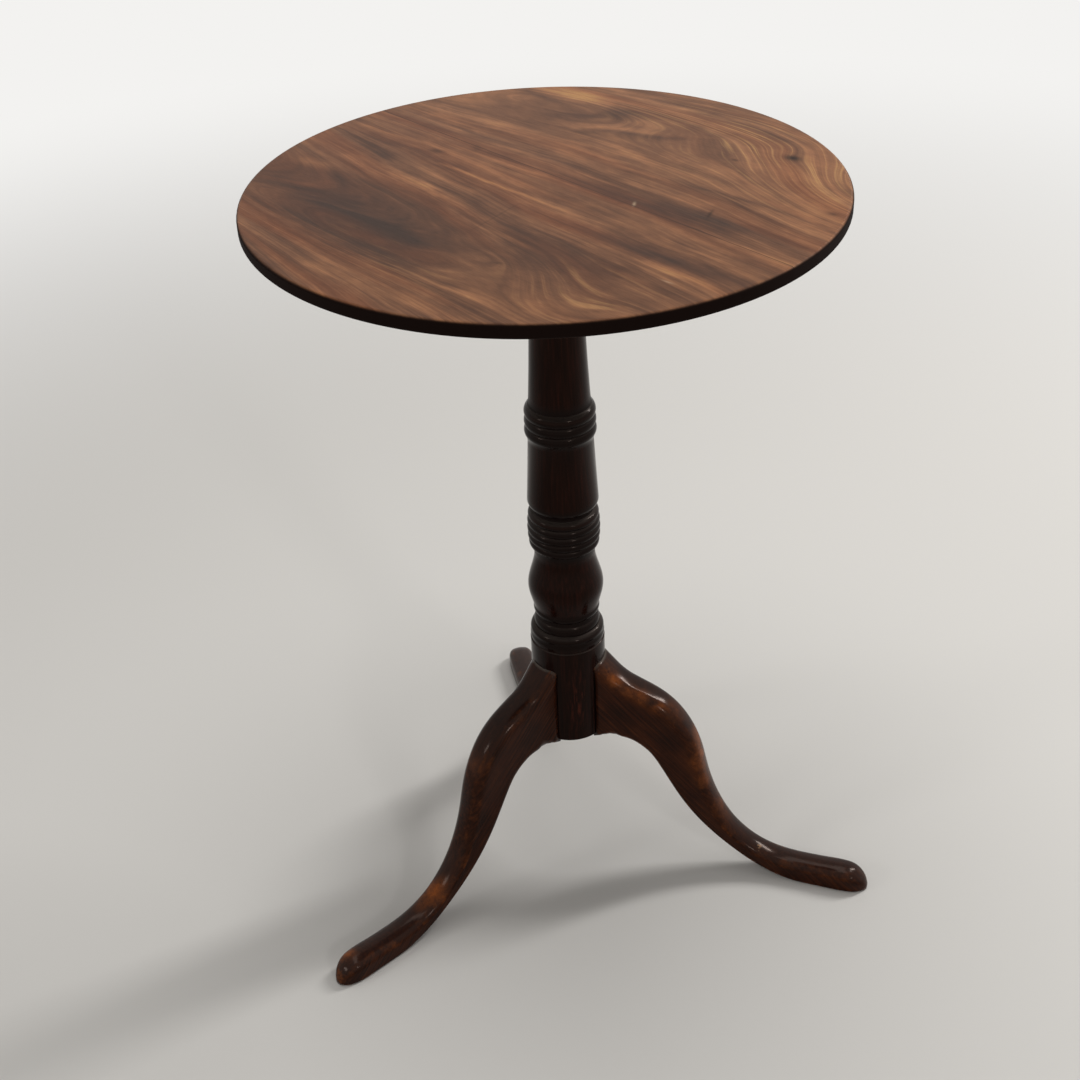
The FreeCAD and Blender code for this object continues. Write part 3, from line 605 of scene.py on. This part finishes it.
def lathe_tree():
    """Turn a polyline of (radius, height) points round Z: a grid wrapped into rings, then welded."""
    tree = bpy.data.node_groups.new("lathe", "GeometryNodeTree")
    for name, kind in (("Outline", "Geometry"), ("Sides", "Int"), ("Finish", "Material")):
        tree.interface.new_socket(name, in_out="INPUT", socket_type="NodeSocket" + kind)
    tree.interface.new_socket("Turning", in_out="OUTPUT", socket_type="NodeSocketGeometry")
    given = add(tree, "NodeGroupInput")
    count = add(tree, "GeometryNodeAttributeDomainSize", {"Geometry": given.outputs["Outline"]})
    points = count.outputs["Point Count"]
    rows = add(tree, "ShaderNodeMath", {0: given.outputs["Sides"], 1: 1.0}, operation="ADD")
    grid = add(tree, "GeometryNodeMeshGrid", {"Vertices X": rows, "Vertices Y": points})
    index = add(tree, "GeometryNodeInputIndex")
    along = add(tree, "ShaderNodeMath", {0: index, 1: points}, operation="MODULO")
    share = add(tree, "ShaderNodeMath", {0: index, 1: points}, operation="DIVIDE")
    row = add(tree, "ShaderNodeMath", {0: share}, operation="FLOOR")
    part = add(tree, "ShaderNodeMath", {0: row, 1: given.outputs["Sides"]}, operation="DIVIDE")
    angle = add(tree, "ShaderNodeMath", {0: part, 1: math.tau}, operation="MULTIPLY")
    position = add(tree, "GeometryNodeInputPosition")
    point = add(tree, "GeometryNodeSampleIndex", {"Geometry": given.outputs["Outline"], "Value": position,
                                                  "Index": along}, data_type="FLOAT_VECTOR")
    placed = add(tree, "ShaderNodeVectorRotate", {"Vector": point, "Angle": angle}, rotation_type="Z_AXIS")
    turned = add(tree, "GeometryNodeSetPosition", {"Geometry": grid, "Position": placed})
    for fact in SURFACE_FACTS:
        named = add(tree, "GeometryNodeInputNamedAttribute", {"Name": fact}, data_type="FLOAT")
        value = add(tree, "GeometryNodeSampleIndex", {"Geometry": given.outputs["Outline"], "Value": named,
                                                      "Index": along}, data_type="FLOAT")
        turned = add(tree, "GeometryNodeStoreNamedAttribute",
                     {"Geometry": turned, "Name": fact, "Value": value}, data_type="FLOAT", domain="POINT")
    welded = add(tree, "GeometryNodeMergeByDistance", {"Geometry": turned, "Distance": WELD_DISTANCE})
    real = add(tree, "GeometryNodeRealizeInstances", {"Geometry": welded})
    finished = add(tree, "GeometryNodeSetMaterial", {"Geometry": real, "Material": given.outputs["Finish"]})
    add(tree, "NodeGroupOutput", {"Turning": finished})
    return tree


# %% [markdown]
# ## Dark turned mahogany
#
# The stand is the same timber as the top, but long years of polish and dirt have made it almost black.
# Red shows through where the light falls, the grooves hold dirt and are painted darker as shade, and the
# beads are rubbed a little.
# The grain of a turning runs up the column, so the noise is stretched along Z. Old shellac is amber, and
# tints what it mirrors.

# %% The column's finish
COLUMN_GRAIN_MM = 2.6
COLUMN_PATCH_MM = 18.2
AMBER_POLISH = colour("#FFE2D2")
BASE_RUB_PLACE_MM = (31.5, -17, 200)
BASE_RUB_RADII_MM = (8, 8, 32)


def bared_share(tree, place):
    """How much red wood shows, in streaks, where polish has rubbed off the base between the legs."""
    bare = add(tree, "ShaderNodeGroup", {"Place": place, "Centre": BASE_RUB_PLACE_MM,
                                         "Radii": BASE_RUB_RADII_MM, "Height": 1.0}, node_tree=soft_spot)
    short_place = add(tree, "ShaderNodeMapping", {"Vector": place, "Scale": (1, 1, 0.18)})
    short = add(tree, "ShaderNodeTexNoise", {"Vector": short_place, "Scale": 1 / COLUMN_GRAIN_MM,
                                             "Detail": 3.0})
    streaky = add(tree, "ShaderNodeMapRange", {"Value": short, "From Min": 0.48, "From Max": 0.7})
    return add(tree, "ShaderNodeMath", {0: bare, 1: streaky}, operation="MULTIPLY")


def upward_share(tree, start, full, most=1.0):
    """How much a face looks up: nothing up to one Z of its normal, and the most from another Z on."""
    shape = add(tree, "ShaderNodeNewGeometry")
    facing = add(tree, "ShaderNodeSeparateXYZ", {0: shape.outputs["Normal"]})
    return add(tree, "ShaderNodeMapRange", {"Value": facing.outputs["Z"], "From Min": start, "From Max": full,
                                            "To Max": most})


def dark_turned_mahogany():
    """Old polish on turned mahogany: near black with a red undertone, softly glossy, dull in the grooves."""
    material, tree, shader = new_material("turned_mahogany_dark_polish", Specular_IOR_Level=0.07,
                                          Specular_Tint=AMBER_POLISH)
    place = millimetres(tree)
    grain_place = add(tree, "ShaderNodeMapping", {"Vector": place, "Scale": (1, 1, 0.04)})
    grain = add(tree, "ShaderNodeTexNoise", {"Vector": grain_place, "Scale": 1 / COLUMN_GRAIN_MM,
                                             "Detail": 4.0, "Roughness": 0.62})
    body = add(tree, "ShaderNodeValToRGB", {"Fac": grain})
    fill_ramp(body, [(0.3, "#120705"), (0.5, "#1B0B07"), (0.64, "#250F0A"), (0.8, "#32150D")])

    # Dirt and painted shade blacken the groups of rings and, most of all, their grooves, where shade falls
    relief = add(tree, "ShaderNodeAttribute", attribute_name="relief")
    ringed = add(tree, "ShaderNodeAttribute", attribute_name="ringed")
    group = add(tree, "ShaderNodeMapRange", {"Value": ringed.outputs["Fac"], "From Min": 0.2,
                                             "From Max": 0.45, "To Max": 0.9})
    groove = add(tree, "ShaderNodeMapRange", {"Value": relief.outputs["Fac"], "From Min": -0.3,
                                              "From Max": -1.4})
    ring_dirt_and_shade = add(tree, "ShaderNodeMath", {0: group, 1: groove}, operation="MAXIMUM")

    # The beads are rubbed in patches, and dust lies on the ledges, whose grey also paints a highlight on the
    # faces that look up
    rub = add(tree, "ShaderNodeMapRange", {"Value": relief.outputs["Fac"], "From Min": 0.9, "From Max": 2.2,
                                           "To Max": 0.35})
    patchy = add(tree, "ShaderNodeTexNoise", {"Vector": place, "Scale": 1 / COLUMN_PATCH_MM, "Detail": 3.0})
    worn = add(tree, "ShaderNodeMath", {0: rub, 1: patchy}, operation="MULTIPLY")
    ledge_dust_and_highlight = upward_share(tree, 0.4, 0.85, 0.5)
    aged = coated(tree, body, ((bared_share(tree, place), "#552619"), (ring_dirt_and_shade, "#110B0A"), (worn, "#5A3020"),
                               (ledge_dust_and_highlight, "#4A423D")))
    dull = add(tree, "ShaderNodeMapRange", {"Value": groove, "To Min": 0.16, "To Max": 0.6})
    dress(tree, shader, {"Base Color": aged, "Roughness": dull}, grain, 0.12, 0.12 * MM)
    return material


column_wood = dark_turned_mahogany()
print("column finish:", len(column_wood.node_tree.nodes), "nodes")

# %% The column's mesh
SHARP_EDGE = math.radians(38)


def plain_mesh(maker, name):
    """The evaluated result of an object's modifiers as a new plain object, with the maker removed."""
    graph = bpy.context.evaluated_depsgraph_get()
    mesh = bpy.data.meshes.new_from_object(maker.evaluated_get(graph))
    bpy.data.objects.remove(maker)
    piece = bpy.data.objects.new(name, mesh)
    bpy.context.scene.collection.objects.link(piece)
    return piece


polyline = [Vector((0, column_low.z))] + kept + [Vector((0, column_high.z))]
outline_mesh = bpy.data.meshes.new("column_outline")
links = [(i, i + 1) for i in range(len(polyline) - 1)]
outline_mesh.from_pydata([(p.x, 0, p.y) for p in polyline], links, [])
for k, fact in enumerate(SURFACE_FACTS):
    layer = outline_mesh.attributes.new(fact, "FLOAT", "POINT")
    layer.data.foreach_set("value", [surface_facts.get(p.y, (0.0, 0.0))[k] for p in polyline])
maker = bpy.data.objects.new("column_outline", outline_mesh)
bpy.context.scene.collection.objects.link(maker)
lathe = maker.modifiers.new("lathe", "NODES")
lathe.node_group = lathe_tree()
sockets = {item.name: item.identifier for item in lathe.node_group.interface.items_tree}
lathe[sockets["Sides"]] = COLUMN_SIDES
lathe[sockets["Finish"]] = column_wood
column = plain_mesh(maker, "turned_column")
column.data.shade_smooth()
column.data.set_sharp_from_angle(angle=SHARP_EDGE)
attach(column, "stand")
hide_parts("column")
print("column:", len(column.data.polygons), "faces")

# %% [markdown]
# ## The carved legs
#
# Each leg was sawn from a plank to an S shape and then rounded with a spokeshave, so its arrises soften
# from knee to foot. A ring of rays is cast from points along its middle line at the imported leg, and the
# rings are joined into one clean skin of quads. The skin keeps two things that the finish needs: the
# place within the plank, and how sharp the surface turns there.

# %% Rings of points round a packed leg
LEG_ANGLES = {"leg_front": -90, "leg_right": 30, "leg_left": 150}
LEG_SPINE_MM = ((36.6, 191), (43, 189.5), (57, 183.2), (75, 176.8), (93.5, 165), (107, 148), (125.6, 103),
                (140, 76), (152, 57), (181, 30.5), (212, 15.6), (244, 9.9), (284, 9.9))
LEG_RINGS = 116
LEG_ROUND = 112
TOE_RINGS = 14
ROOT_RINGS = 22
SPINE_EASING = 30


def smooth_line(points, count):
    """Points spread evenly along a polyline, then eased so that its corners become bends."""
    lengths = [0.0]
    for a, b in zip(points, points[1:]):
        lengths.append(lengths[-1] + (b - a).length)
    line = []
    for i in range(count):
        want = lengths[-1] * i / (count - 1)
        k = max(j for j in range(len(points) - 1) if lengths[j] <= want + TINY)
        share = (want - lengths[k]) / (lengths[k + 1] - lengths[k])
        line.append(points[k].lerp(points[k + 1], min(share, 1.0)))
    for _ in range(SPINE_EASING):
        line = [line[0]] + [(a + 2 * b + c) / 4 for a, b, c in zip(line, line[1:], line[2:])] + [line[-1]]
    return line


def wrapped_rings(surface, turn):
    """Rings of points on a leg's surface, from the column to the tip of the toe, in the leg's own frame."""
    back = turn.inverted()
    spin = turn.to_3x3()
    side = Vector((0, 1, 0))
    spine = smooth_line([Vector((x, 0, z)) * MM for x, z in LEG_SPINE_MM], LEG_RINGS)
    stations = []
    for i, centre in enumerate(spine):
        ahead = (spine[min(i + 1, LEG_RINGS - 1)] - spine[max(i - 1, 0)]).normalized()
        ahead = Vector((1, 0, 0)).lerp(ahead, min(i / ROOT_RINGS, 1.0)).normalized()
        stations.append((centre, ahead, 0.0))
    # Round the toe the rings stay at the last point of the line and lean forward, until they meet its tip
    centre, ahead, _ = stations[-1]
    stations += [(centre, ahead, math.pi / 2 * (i + 1) / (TOE_RINGS + 1)) for i in range(TOE_RINGS)]
    rings = []
    for centre, ahead, lean in stations:
        start = turn @ centre
        over = side.cross(ahead)
        width = surface.ray_cast(start, spin @ side)[3]
        depth = surface.ray_cast(start, spin @ over)[3]
        ring = []
        for j in range(LEG_ROUND):
            phi = math.tau * (j + 0.5) / LEG_ROUND
            flat = (side * width * math.cos(phi) + over * depth * math.sin(phi)).normalized()
            ray = flat * math.cos(lean) + ahead * math.sin(lean)
            ring.append(back @ surface.ray_cast(start, spin @ ray)[0])
        rings.append(ring)
    tip = back @ surface.ray_cast(start, spin @ ahead)[0]
    return rings, tip


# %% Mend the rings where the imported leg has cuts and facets
PLATE_LOW, PLATE_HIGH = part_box("base_plate")
HOUSING_REACH = -PLATE_LOW.y + MM
HOUSING_ROOF = PLATE_HIGH.z + MM
HOUSING_HALF = 8.2 * MM
FACET_EASING = 4
SCRIBE_REACH = 30 * MM
SCRIBE_HALVINGS = 30


def bridged(ring):
    """A ring whose underside runs straight across the housing that is cut there for the iron plate."""
    if min(p.x for p in ring) > HOUSING_REACH:
        return ring
    sill = min(p.z for p in ring if abs(p.y) > HOUSING_HALF)
    housed = [abs(p.y) <= HOUSING_HALF and p.z < HOUSING_ROOF for p in ring]
    return [Vector((p.x, p.y, sill)) if inside else p for p, inside in zip(ring, housed)]


def eased(rings):
    """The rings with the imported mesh's small facets smoothed out; the first ring stays in its place."""
    for _ in range(FACET_EASING):
        softer = [rings[0]]
        for k in range(1, len(rings)):
            before, ring, after = rings[k - 1], rings[k], rings[min(k + 1, len(rings) - 1)]
            along = [(a + 2 * b + c) / 4 for a, b, c in zip(before, ring, after)] if k < LEG_RINGS else ring
            softer.append([(along[j - 1] + 2 * along[j] + along[(j + 1) % LEG_ROUND]) / 4
                           for j in range(LEG_ROUND)])
        rings = softer
    return rings


def scribed(ring, following, radius):
    """A ring carried on, straight, until it meets the column's face."""
    steps = [p - q for p, q in zip(ring, following)]
    for _ in range(FACET_EASING):
        steps = [steps[j - 1] + 2 * steps[j] + steps[(j + 1) % LEG_ROUND] for j in range(LEG_ROUND)]
    result = []
    for p, step in zip(ring, steps):
        step = step.normalized()
        lo, hi = 0.0, SCRIBE_REACH
        for _ in range(SCRIBE_HALVINGS):
            middle = (lo + hi) / 2
            reached = p + step * middle
            lo, hi = (middle, hi) if math.hypot(reached.x, reached.y) > radius else (lo, middle)
        result.append(p + step * lo)
    return result


# %% Join the rings into skins
ROOT_DEPTH = 1.2 * MM
PLANK_SLOPE = math.radians(45)
PLANK_APART_MM = 500.0


def skin_faces(count):
    """Quads between the rings, a flat end inside the column, and a fan from the last ring to the tip."""
    around = [(j, (j + 1) % LEG_ROUND) for j in range(LEG_ROUND)]
    last = (count - 1) * LEG_ROUND
    faces = [tuple(range(LEG_ROUND))[::-1]]
    for here in range(0, last, LEG_ROUND):
        there = here + LEG_ROUND
        faces += [(here + j, here + n, there + n, there + j) for j, n in around]
    return faces + [(last + j, last + n, last + LEG_ROUND) for j, n in around]


def ring_bends(ring):
    """How sharply a ring turns at each of its points, in radians per millimetre."""
    bends = []
    for j in range(LEG_ROUND):
        before = ring[j] - ring[j - 1]
        after = ring[(j + 1) % LEG_ROUND] - ring[j]
        bends.append(before.angle(after, 0.0) / max((before.length + after.length) / 2 / MM, TINY))
    return bends


def leg_skin(node, angle, number):
    """The leg's mesh, which keeps on its points their place in the plank and how sharply they turn."""
    turn = Matrix.Rotation(math.radians(angle), 4, "Z")
    rings, tip = wrapped_rings(surface_of(node), turn)
    rings = eased([bridged(ring) for ring in rings])
    rings.insert(0, scribed(rings[0], rings[2], column_face - ROOT_DEPTH))
    points = [p for ring in rings for p in ring] + [tip]
    mesh = bpy.data.meshes.new(node + "_skin")
    mesh.from_pydata([turn @ p for p in points], [], skin_faces(len(rings)))
    plank = Matrix.Rotation(PLANK_SLOPE, 4, "Y").inverted()
    apart = Vector((PLANK_APART_MM * number, 0, 0))
    plank_layer = mesh.attributes.new("plank", "FLOAT_VECTOR", "POINT")
    plank_layer.data.foreach_set("vector", [c for p in points for c in plank @ p / MM + apart])
    bend_layer = mesh.attributes.new("bend", "FLOAT", "POINT")
    bend_layer.data.foreach_set("value", [bend for ring in rings for bend in ring_bends(ring)] + [0.0])
    mesh.shade_smooth()
    return mesh


leg_skins = {}
for number, (node, angle) in enumerate(LEG_ANGLES.items()):
    skin = bpy.data.objects.new(node + "_skin", leg_skin(node, angle, number))
    bpy.context.scene.collection.objects.link(skin)
    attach(skin, "stand")
    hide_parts(node)
    leg_skins[node] = skin
    print(skin.name, len(skin.data.polygons), "faces")

# %% [markdown]
# ## Worn mahogany of the legs
#
# Grain runs straight along the plank, so on the curved leg it cuts across the bends as slanting streaks.
# Shoes and brooms have rubbed the arrises and toes through to orange-brown wood, and at the right leg's root
# the orange also paints light falling on the arris. The upper faces are greyer, where dust sits in the polish
# and a reflection is painted, and the back toe is painted grey the same way.

# %% Places on the legs: rubbed and painted lit, chipped, and dusty with a painted reflection
# Each place is (x, y, z, radius, strength), in millimetres
RUBBED_AND_LIT_PLACES = (
    (1.0, -181.0, 40.0, 9, 1.0),
    (-2.0, -190.0, 35.0, 9, 0.9),
    (-3.0, -200.0, 29.5, 8, 0.6),
    (-6.0, -286.0, 20.0, 6, 0.9),
    (-8.0, -293.0, 16.0, 6, 0.9),
    (-7.0, -124.0, 165.0, 12, 0.3),
    (110.6, 66.9, 154.8, 10, 0.6),
    (118.8, 64.4, 135.7, 12, 0.9),
    (124.3, 64.9, 112.8, 10, 0.6),
    (135.0, 79.3, 70.8, 12, 0.4),
    (96.0, 50.0, 186.0, 11, 0.35),
    # These five places, on the right leg's upper arris at its root, are wear and also paint the light on it
    (44.0, 13.0, 224.0, 8, 0.8),
    (53.0, 15.0, 215.0, 7, 0.8),
    (63.5, 21.8, 208.0, 7, 0.8),
    (74.0, 28.0, 203.0, 7, 0.8),
    (87.9, 35.6, 194.8, 7, 0.7),
)
CHIPPED_PLACES = (
    (0.7, -174.5, 45.7, 2.4, 0.9),
    (173.6, 93.6, 28.9, 6.0, 0.7),
    (223.9, 128.7, 21.3, 1.8, 0.7),
    (190.0, 108.0, 22.0, 2.0, 0.6),
    (-4.0, -291.0, 16.0, 2.6, 0.7),
)
# The back toe is painted grey: a painted reflection, with some dust
DUST_AND_REFLECTION_PLACES = (
    (-235.0, 136.0, 24.0, 42.0, 0.4),
)
print("legs:", len(RUBBED_AND_LIT_PLACES), "rubbed places,", len(CHIPPED_PLACES), "chips")

# %% The legs' finish
LEG_GRAIN_MM = 1.8
LEG_CLOUD_MM = 26.0
LEG_WEAR_MM = 16.0
LEG_GRIT_MM = 2.5
COLUMN_FACE_MM = column_face / MM


def leg_dust_reflection_and_joint(tree, place, wood):
    """Dust and a painted reflection grey what faces up and the back toe; dust lies thick in the joint with
    the column, black with dirt at the sides.
    """
    upward = upward_share(tree, 0.3, 0.75)
    # Painted reflection and dust: faces that look up are greyed
    dust_and_reflection_film = add(tree, "ShaderNodeMath", {0: upward, 1: 0.6}, operation="MULTIPLY")
    # Painted grey reflection on the back toe, with some dust
    settled_dust_and_reflection = add_balls(tree, place, DUST_AND_REFLECTION_PLACES)
    dust_and_reflection_coated = coated(tree, wood, ((dust_and_reflection_film, "#2A1E1B"), (settled_dust_and_reflection, "#4A4340")))
    flat = add(tree, "ShaderNodeVectorMath", {0: place, 1: (1, 1, 0)}, operation="MULTIPLY")
    out = add(tree, "ShaderNodeVectorMath", {0: flat}, operation="LENGTH")
    joint = add(tree, "ShaderNodeMapRange", {"Value": out, "From Min": COLUMN_FACE_MM + 0.6,
                                             "From Max": COLUMN_FACE_MM + 2.2, "To Min": 1.0, "To Max": 0.0})
    crack = add(tree, "ShaderNodeMix", {"Factor": upward, "A": colour("#0E0706"), "B": colour("#5A524B")},
                data_type="RGBA")
    return add(tree, "ShaderNodeMix", {"Factor": joint, "A": dust_and_reflection_coated, "B": crack}, data_type="RGBA")


def leg_wear_and_lit_band(tree, place, patchy, wood):
    """Wear is thin on every arris, plain at the rubbed places, which along the right leg's root also paint
    light, and down to pale wood at the chips.
    """
    bend = add(tree, "ShaderNodeAttribute", attribute_name="bend")
    arris = add(tree, "ShaderNodeMapRange", {"Value": bend.outputs["Fac"], "From Min": 0.06, "From Max": 0.2})
    chance = add(tree, "ShaderNodeMapRange", {"Value": patchy, "From Min": 0.5, "From Max": 0.72,
                                              "To Max": 0.6})
    worn = add(tree, "ShaderNodeMath", {0: arris, 1: chance}, operation="MULTIPLY")
    rubs_and_lit_band = add_balls(tree, place, RUBBED_AND_LIT_PLACES)
    broken = add(tree, "ShaderNodeMapRange", {"Value": patchy, "From Min": 0.3, "From Max": 0.6})
    rubbed_and_lit = add(tree, "ShaderNodeMath", {0: rubs_and_lit_band, 1: broken, 2: worn}, operation="MULTIPLY_ADD",
                 use_clamp=True)
    chips = add_balls(tree, place, CHIPPED_PLACES)
    gritty = add(tree, "ShaderNodeTexNoise", {"Vector": place, "Scale": 1 / LEG_GRIT_MM, "Detail": 3.0})
    ragged = add(tree, "ShaderNodeMath", {0: chips, 1: gritty}, operation="MULTIPLY")
    broken_off = add(tree, "ShaderNodeMapRange", {"Value": ragged, "From Min": 0.26, "From Max": 0.4,
                                                  "To Max": 0.85})
    return coated(tree, wood, ((rubbed_and_lit, "#8A4A20"), (broken_off, "#A98464")))


def worn_leg_mahogany():
    """Polished mahogany with knocks: dark red-brown, slanting fine grain, orange-brown on rubbed arrises and
    on a lit band painted along the right leg's root.
    """
    material, tree, shader = new_material("plank_mahogany_worn_polish", Specular_IOR_Level=0.11,
                                          Specular_Tint=AMBER_POLISH)
    plank = add(tree, "ShaderNodeAttribute", attribute_name="plank")
    stretched = add(tree, "ShaderNodeMapping", {"Vector": plank.outputs["Vector"], "Scale": (0.03, 0.5, 1)})
    grain = add(tree, "ShaderNodeTexNoise", {"Vector": stretched, "Scale": 1 / LEG_GRAIN_MM, "Detail": 4.0,
                                             "Roughness": 0.6})
    cloudy = add(tree, "ShaderNodeTexNoise", {"Vector": plank.outputs["Vector"], "Scale": 1 / LEG_CLOUD_MM,
                                              "Detail": 3.0})
    tone = add(tree, "ShaderNodeMix", {"Factor": 0.3, "A": grain, "B": cloudy})
    body = add(tree, "ShaderNodeValToRGB", {"Fac": tone})
    fill_ramp(body, [(0.28, "#140905"), (0.43, "#251009"), (0.57, "#37190C"), (0.74, "#512A14")])
    place = millimetres(tree)
    patchy = add(tree, "ShaderNodeTexNoise", {"Vector": place, "Scale": 1 / LEG_WEAR_MM, "Detail": 5.0,
                                              "Roughness": 0.7})
    # worn also holds the painted light on the right leg's arris and the painted reflections on the upper
    # faces
    worn = leg_wear_and_lit_band(tree, place, patchy, leg_dust_reflection_and_joint(tree, place, body))
    dull = add(tree, "ShaderNodeMapRange", {"Value": patchy, "From Min": 0.3, "From Max": 0.7, "To Min": 0.12,
                                            "To Max": 0.2})
    dress(tree, shader, {"Base Color": worn, "Roughness": dull}, tone, 0.15, 0.15 * MM)
    return material


leg_wood = worn_leg_mahogany()
for skin in leg_skins.values():
    skin.data.materials.append(leg_wood)
print("leg finish:", len(leg_wood.node_tree.nodes), "nodes")

# %% [markdown]
# ## Wood and metal underneath
#
# Nobody polished what a guest would not see. Bearers and block are bare mahogany, dry and dusty, with
# the marks of the plane along them. The catch is cast brass gone brown, the plate under the legs is
# forged iron, and the screws are steel, dark in their slots.

# %% Finishes of the underside
PLANE_MARK_MM = 5.0


def bare_mahogany():
    """Planed mahogany with no polish: dry grey-brown, matt, with faint plane marks along the grain."""
    material, tree, shader = new_material("planed_mahogany_unpolished", Roughness=0.72)
    place = millimetres(tree)
    stretched = add(tree, "ShaderNodeMapping", {"Vector": place, "Scale": (1, 0.04, 0.6)})
    grain = add(tree, "ShaderNodeTexNoise", {"Vector": stretched, "Scale": 1 / PLANE_MARK_MM, "Detail": 6.0,
                                             "Roughness": 0.65})
    body = add(tree, "ShaderNodeValToRGB", {"Fac": grain})
    fill_ramp(body, [(0.25, "#3E2A20"), (0.5, "#5C3F2E"), (0.75, "#7A573F")])
    dress(tree, shader, {"Base Color": body}, grain, 0.3, 0.2 * MM)
    return material


# Each metal is (low, middle and high colour, metallic, roughness, width of its patches in millimetres)
METAL_FINISHES = {
    # Cast brass that has gone brown, brighter where fingers rub it
    "cast_brass_tarnished": ("#5B4321", "#8C6A33", "#B08C4A", 1.0, 0.42, 16.7),
    # Hammered iron under a thin brown rust
    "forged_iron_rusted": ("#1E1A18", "#2C2522", "#4A3022", 0.75, 0.62, 11.1),
    # Hand-filed steel, oiled and grey
    "filed_steel_aged": ("#2B2826", "#55504B", "#77716A", 1.0, 0.45, 7.1),
}


def aged_metal(name):
    """A metal whose colour and gloss vary in patches, as handling and damp leave them."""
    low, middle, high, metallic, roughness, patch = METAL_FINISHES[name]
    material, tree, shader = new_material(name, Metallic=metallic)
    patchy = add(tree, "ShaderNodeTexNoise", {"Vector": millimetres(tree), "Scale": 1 / patch, "Detail": 6.0,
                                              "Roughness": 0.6})
    body = add(tree, "ShaderNodeValToRGB", {"Fac": patchy})
    fill_ramp(body, [(0.3, low), (0.5, middle), (0.72, high)])
    dull = add(tree, "ShaderNodeMapRange", {"Value": patchy, "From Min": 0.3, "From Max": 0.7,
                                            "To Min": roughness + 0.1, "To Max": roughness - 0.08})
    dress(tree, shader, {"Base Color": body, "Roughness": dull}, patchy, 0.25, 0.2 * MM)
    return material


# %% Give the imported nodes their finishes
finishes = {
    "top_wood": top_wood,
    "under_wood": bare_mahogany(),
    "column_wood": column_wood,
    "leg_wood": leg_wood,
    "wrought_iron": aged_metal("forged_iron_rusted"),
    "steel_screws": aged_metal("filed_steel_aged"),
    "catch_brass": aged_metal("cast_brass_tarnished"),
}
for part in frame["record"]["subparts"]:
    node = nodes[part["node"]]
    node.data.materials.clear()
    node.data.materials.append(finishes[part["material_slot"]])
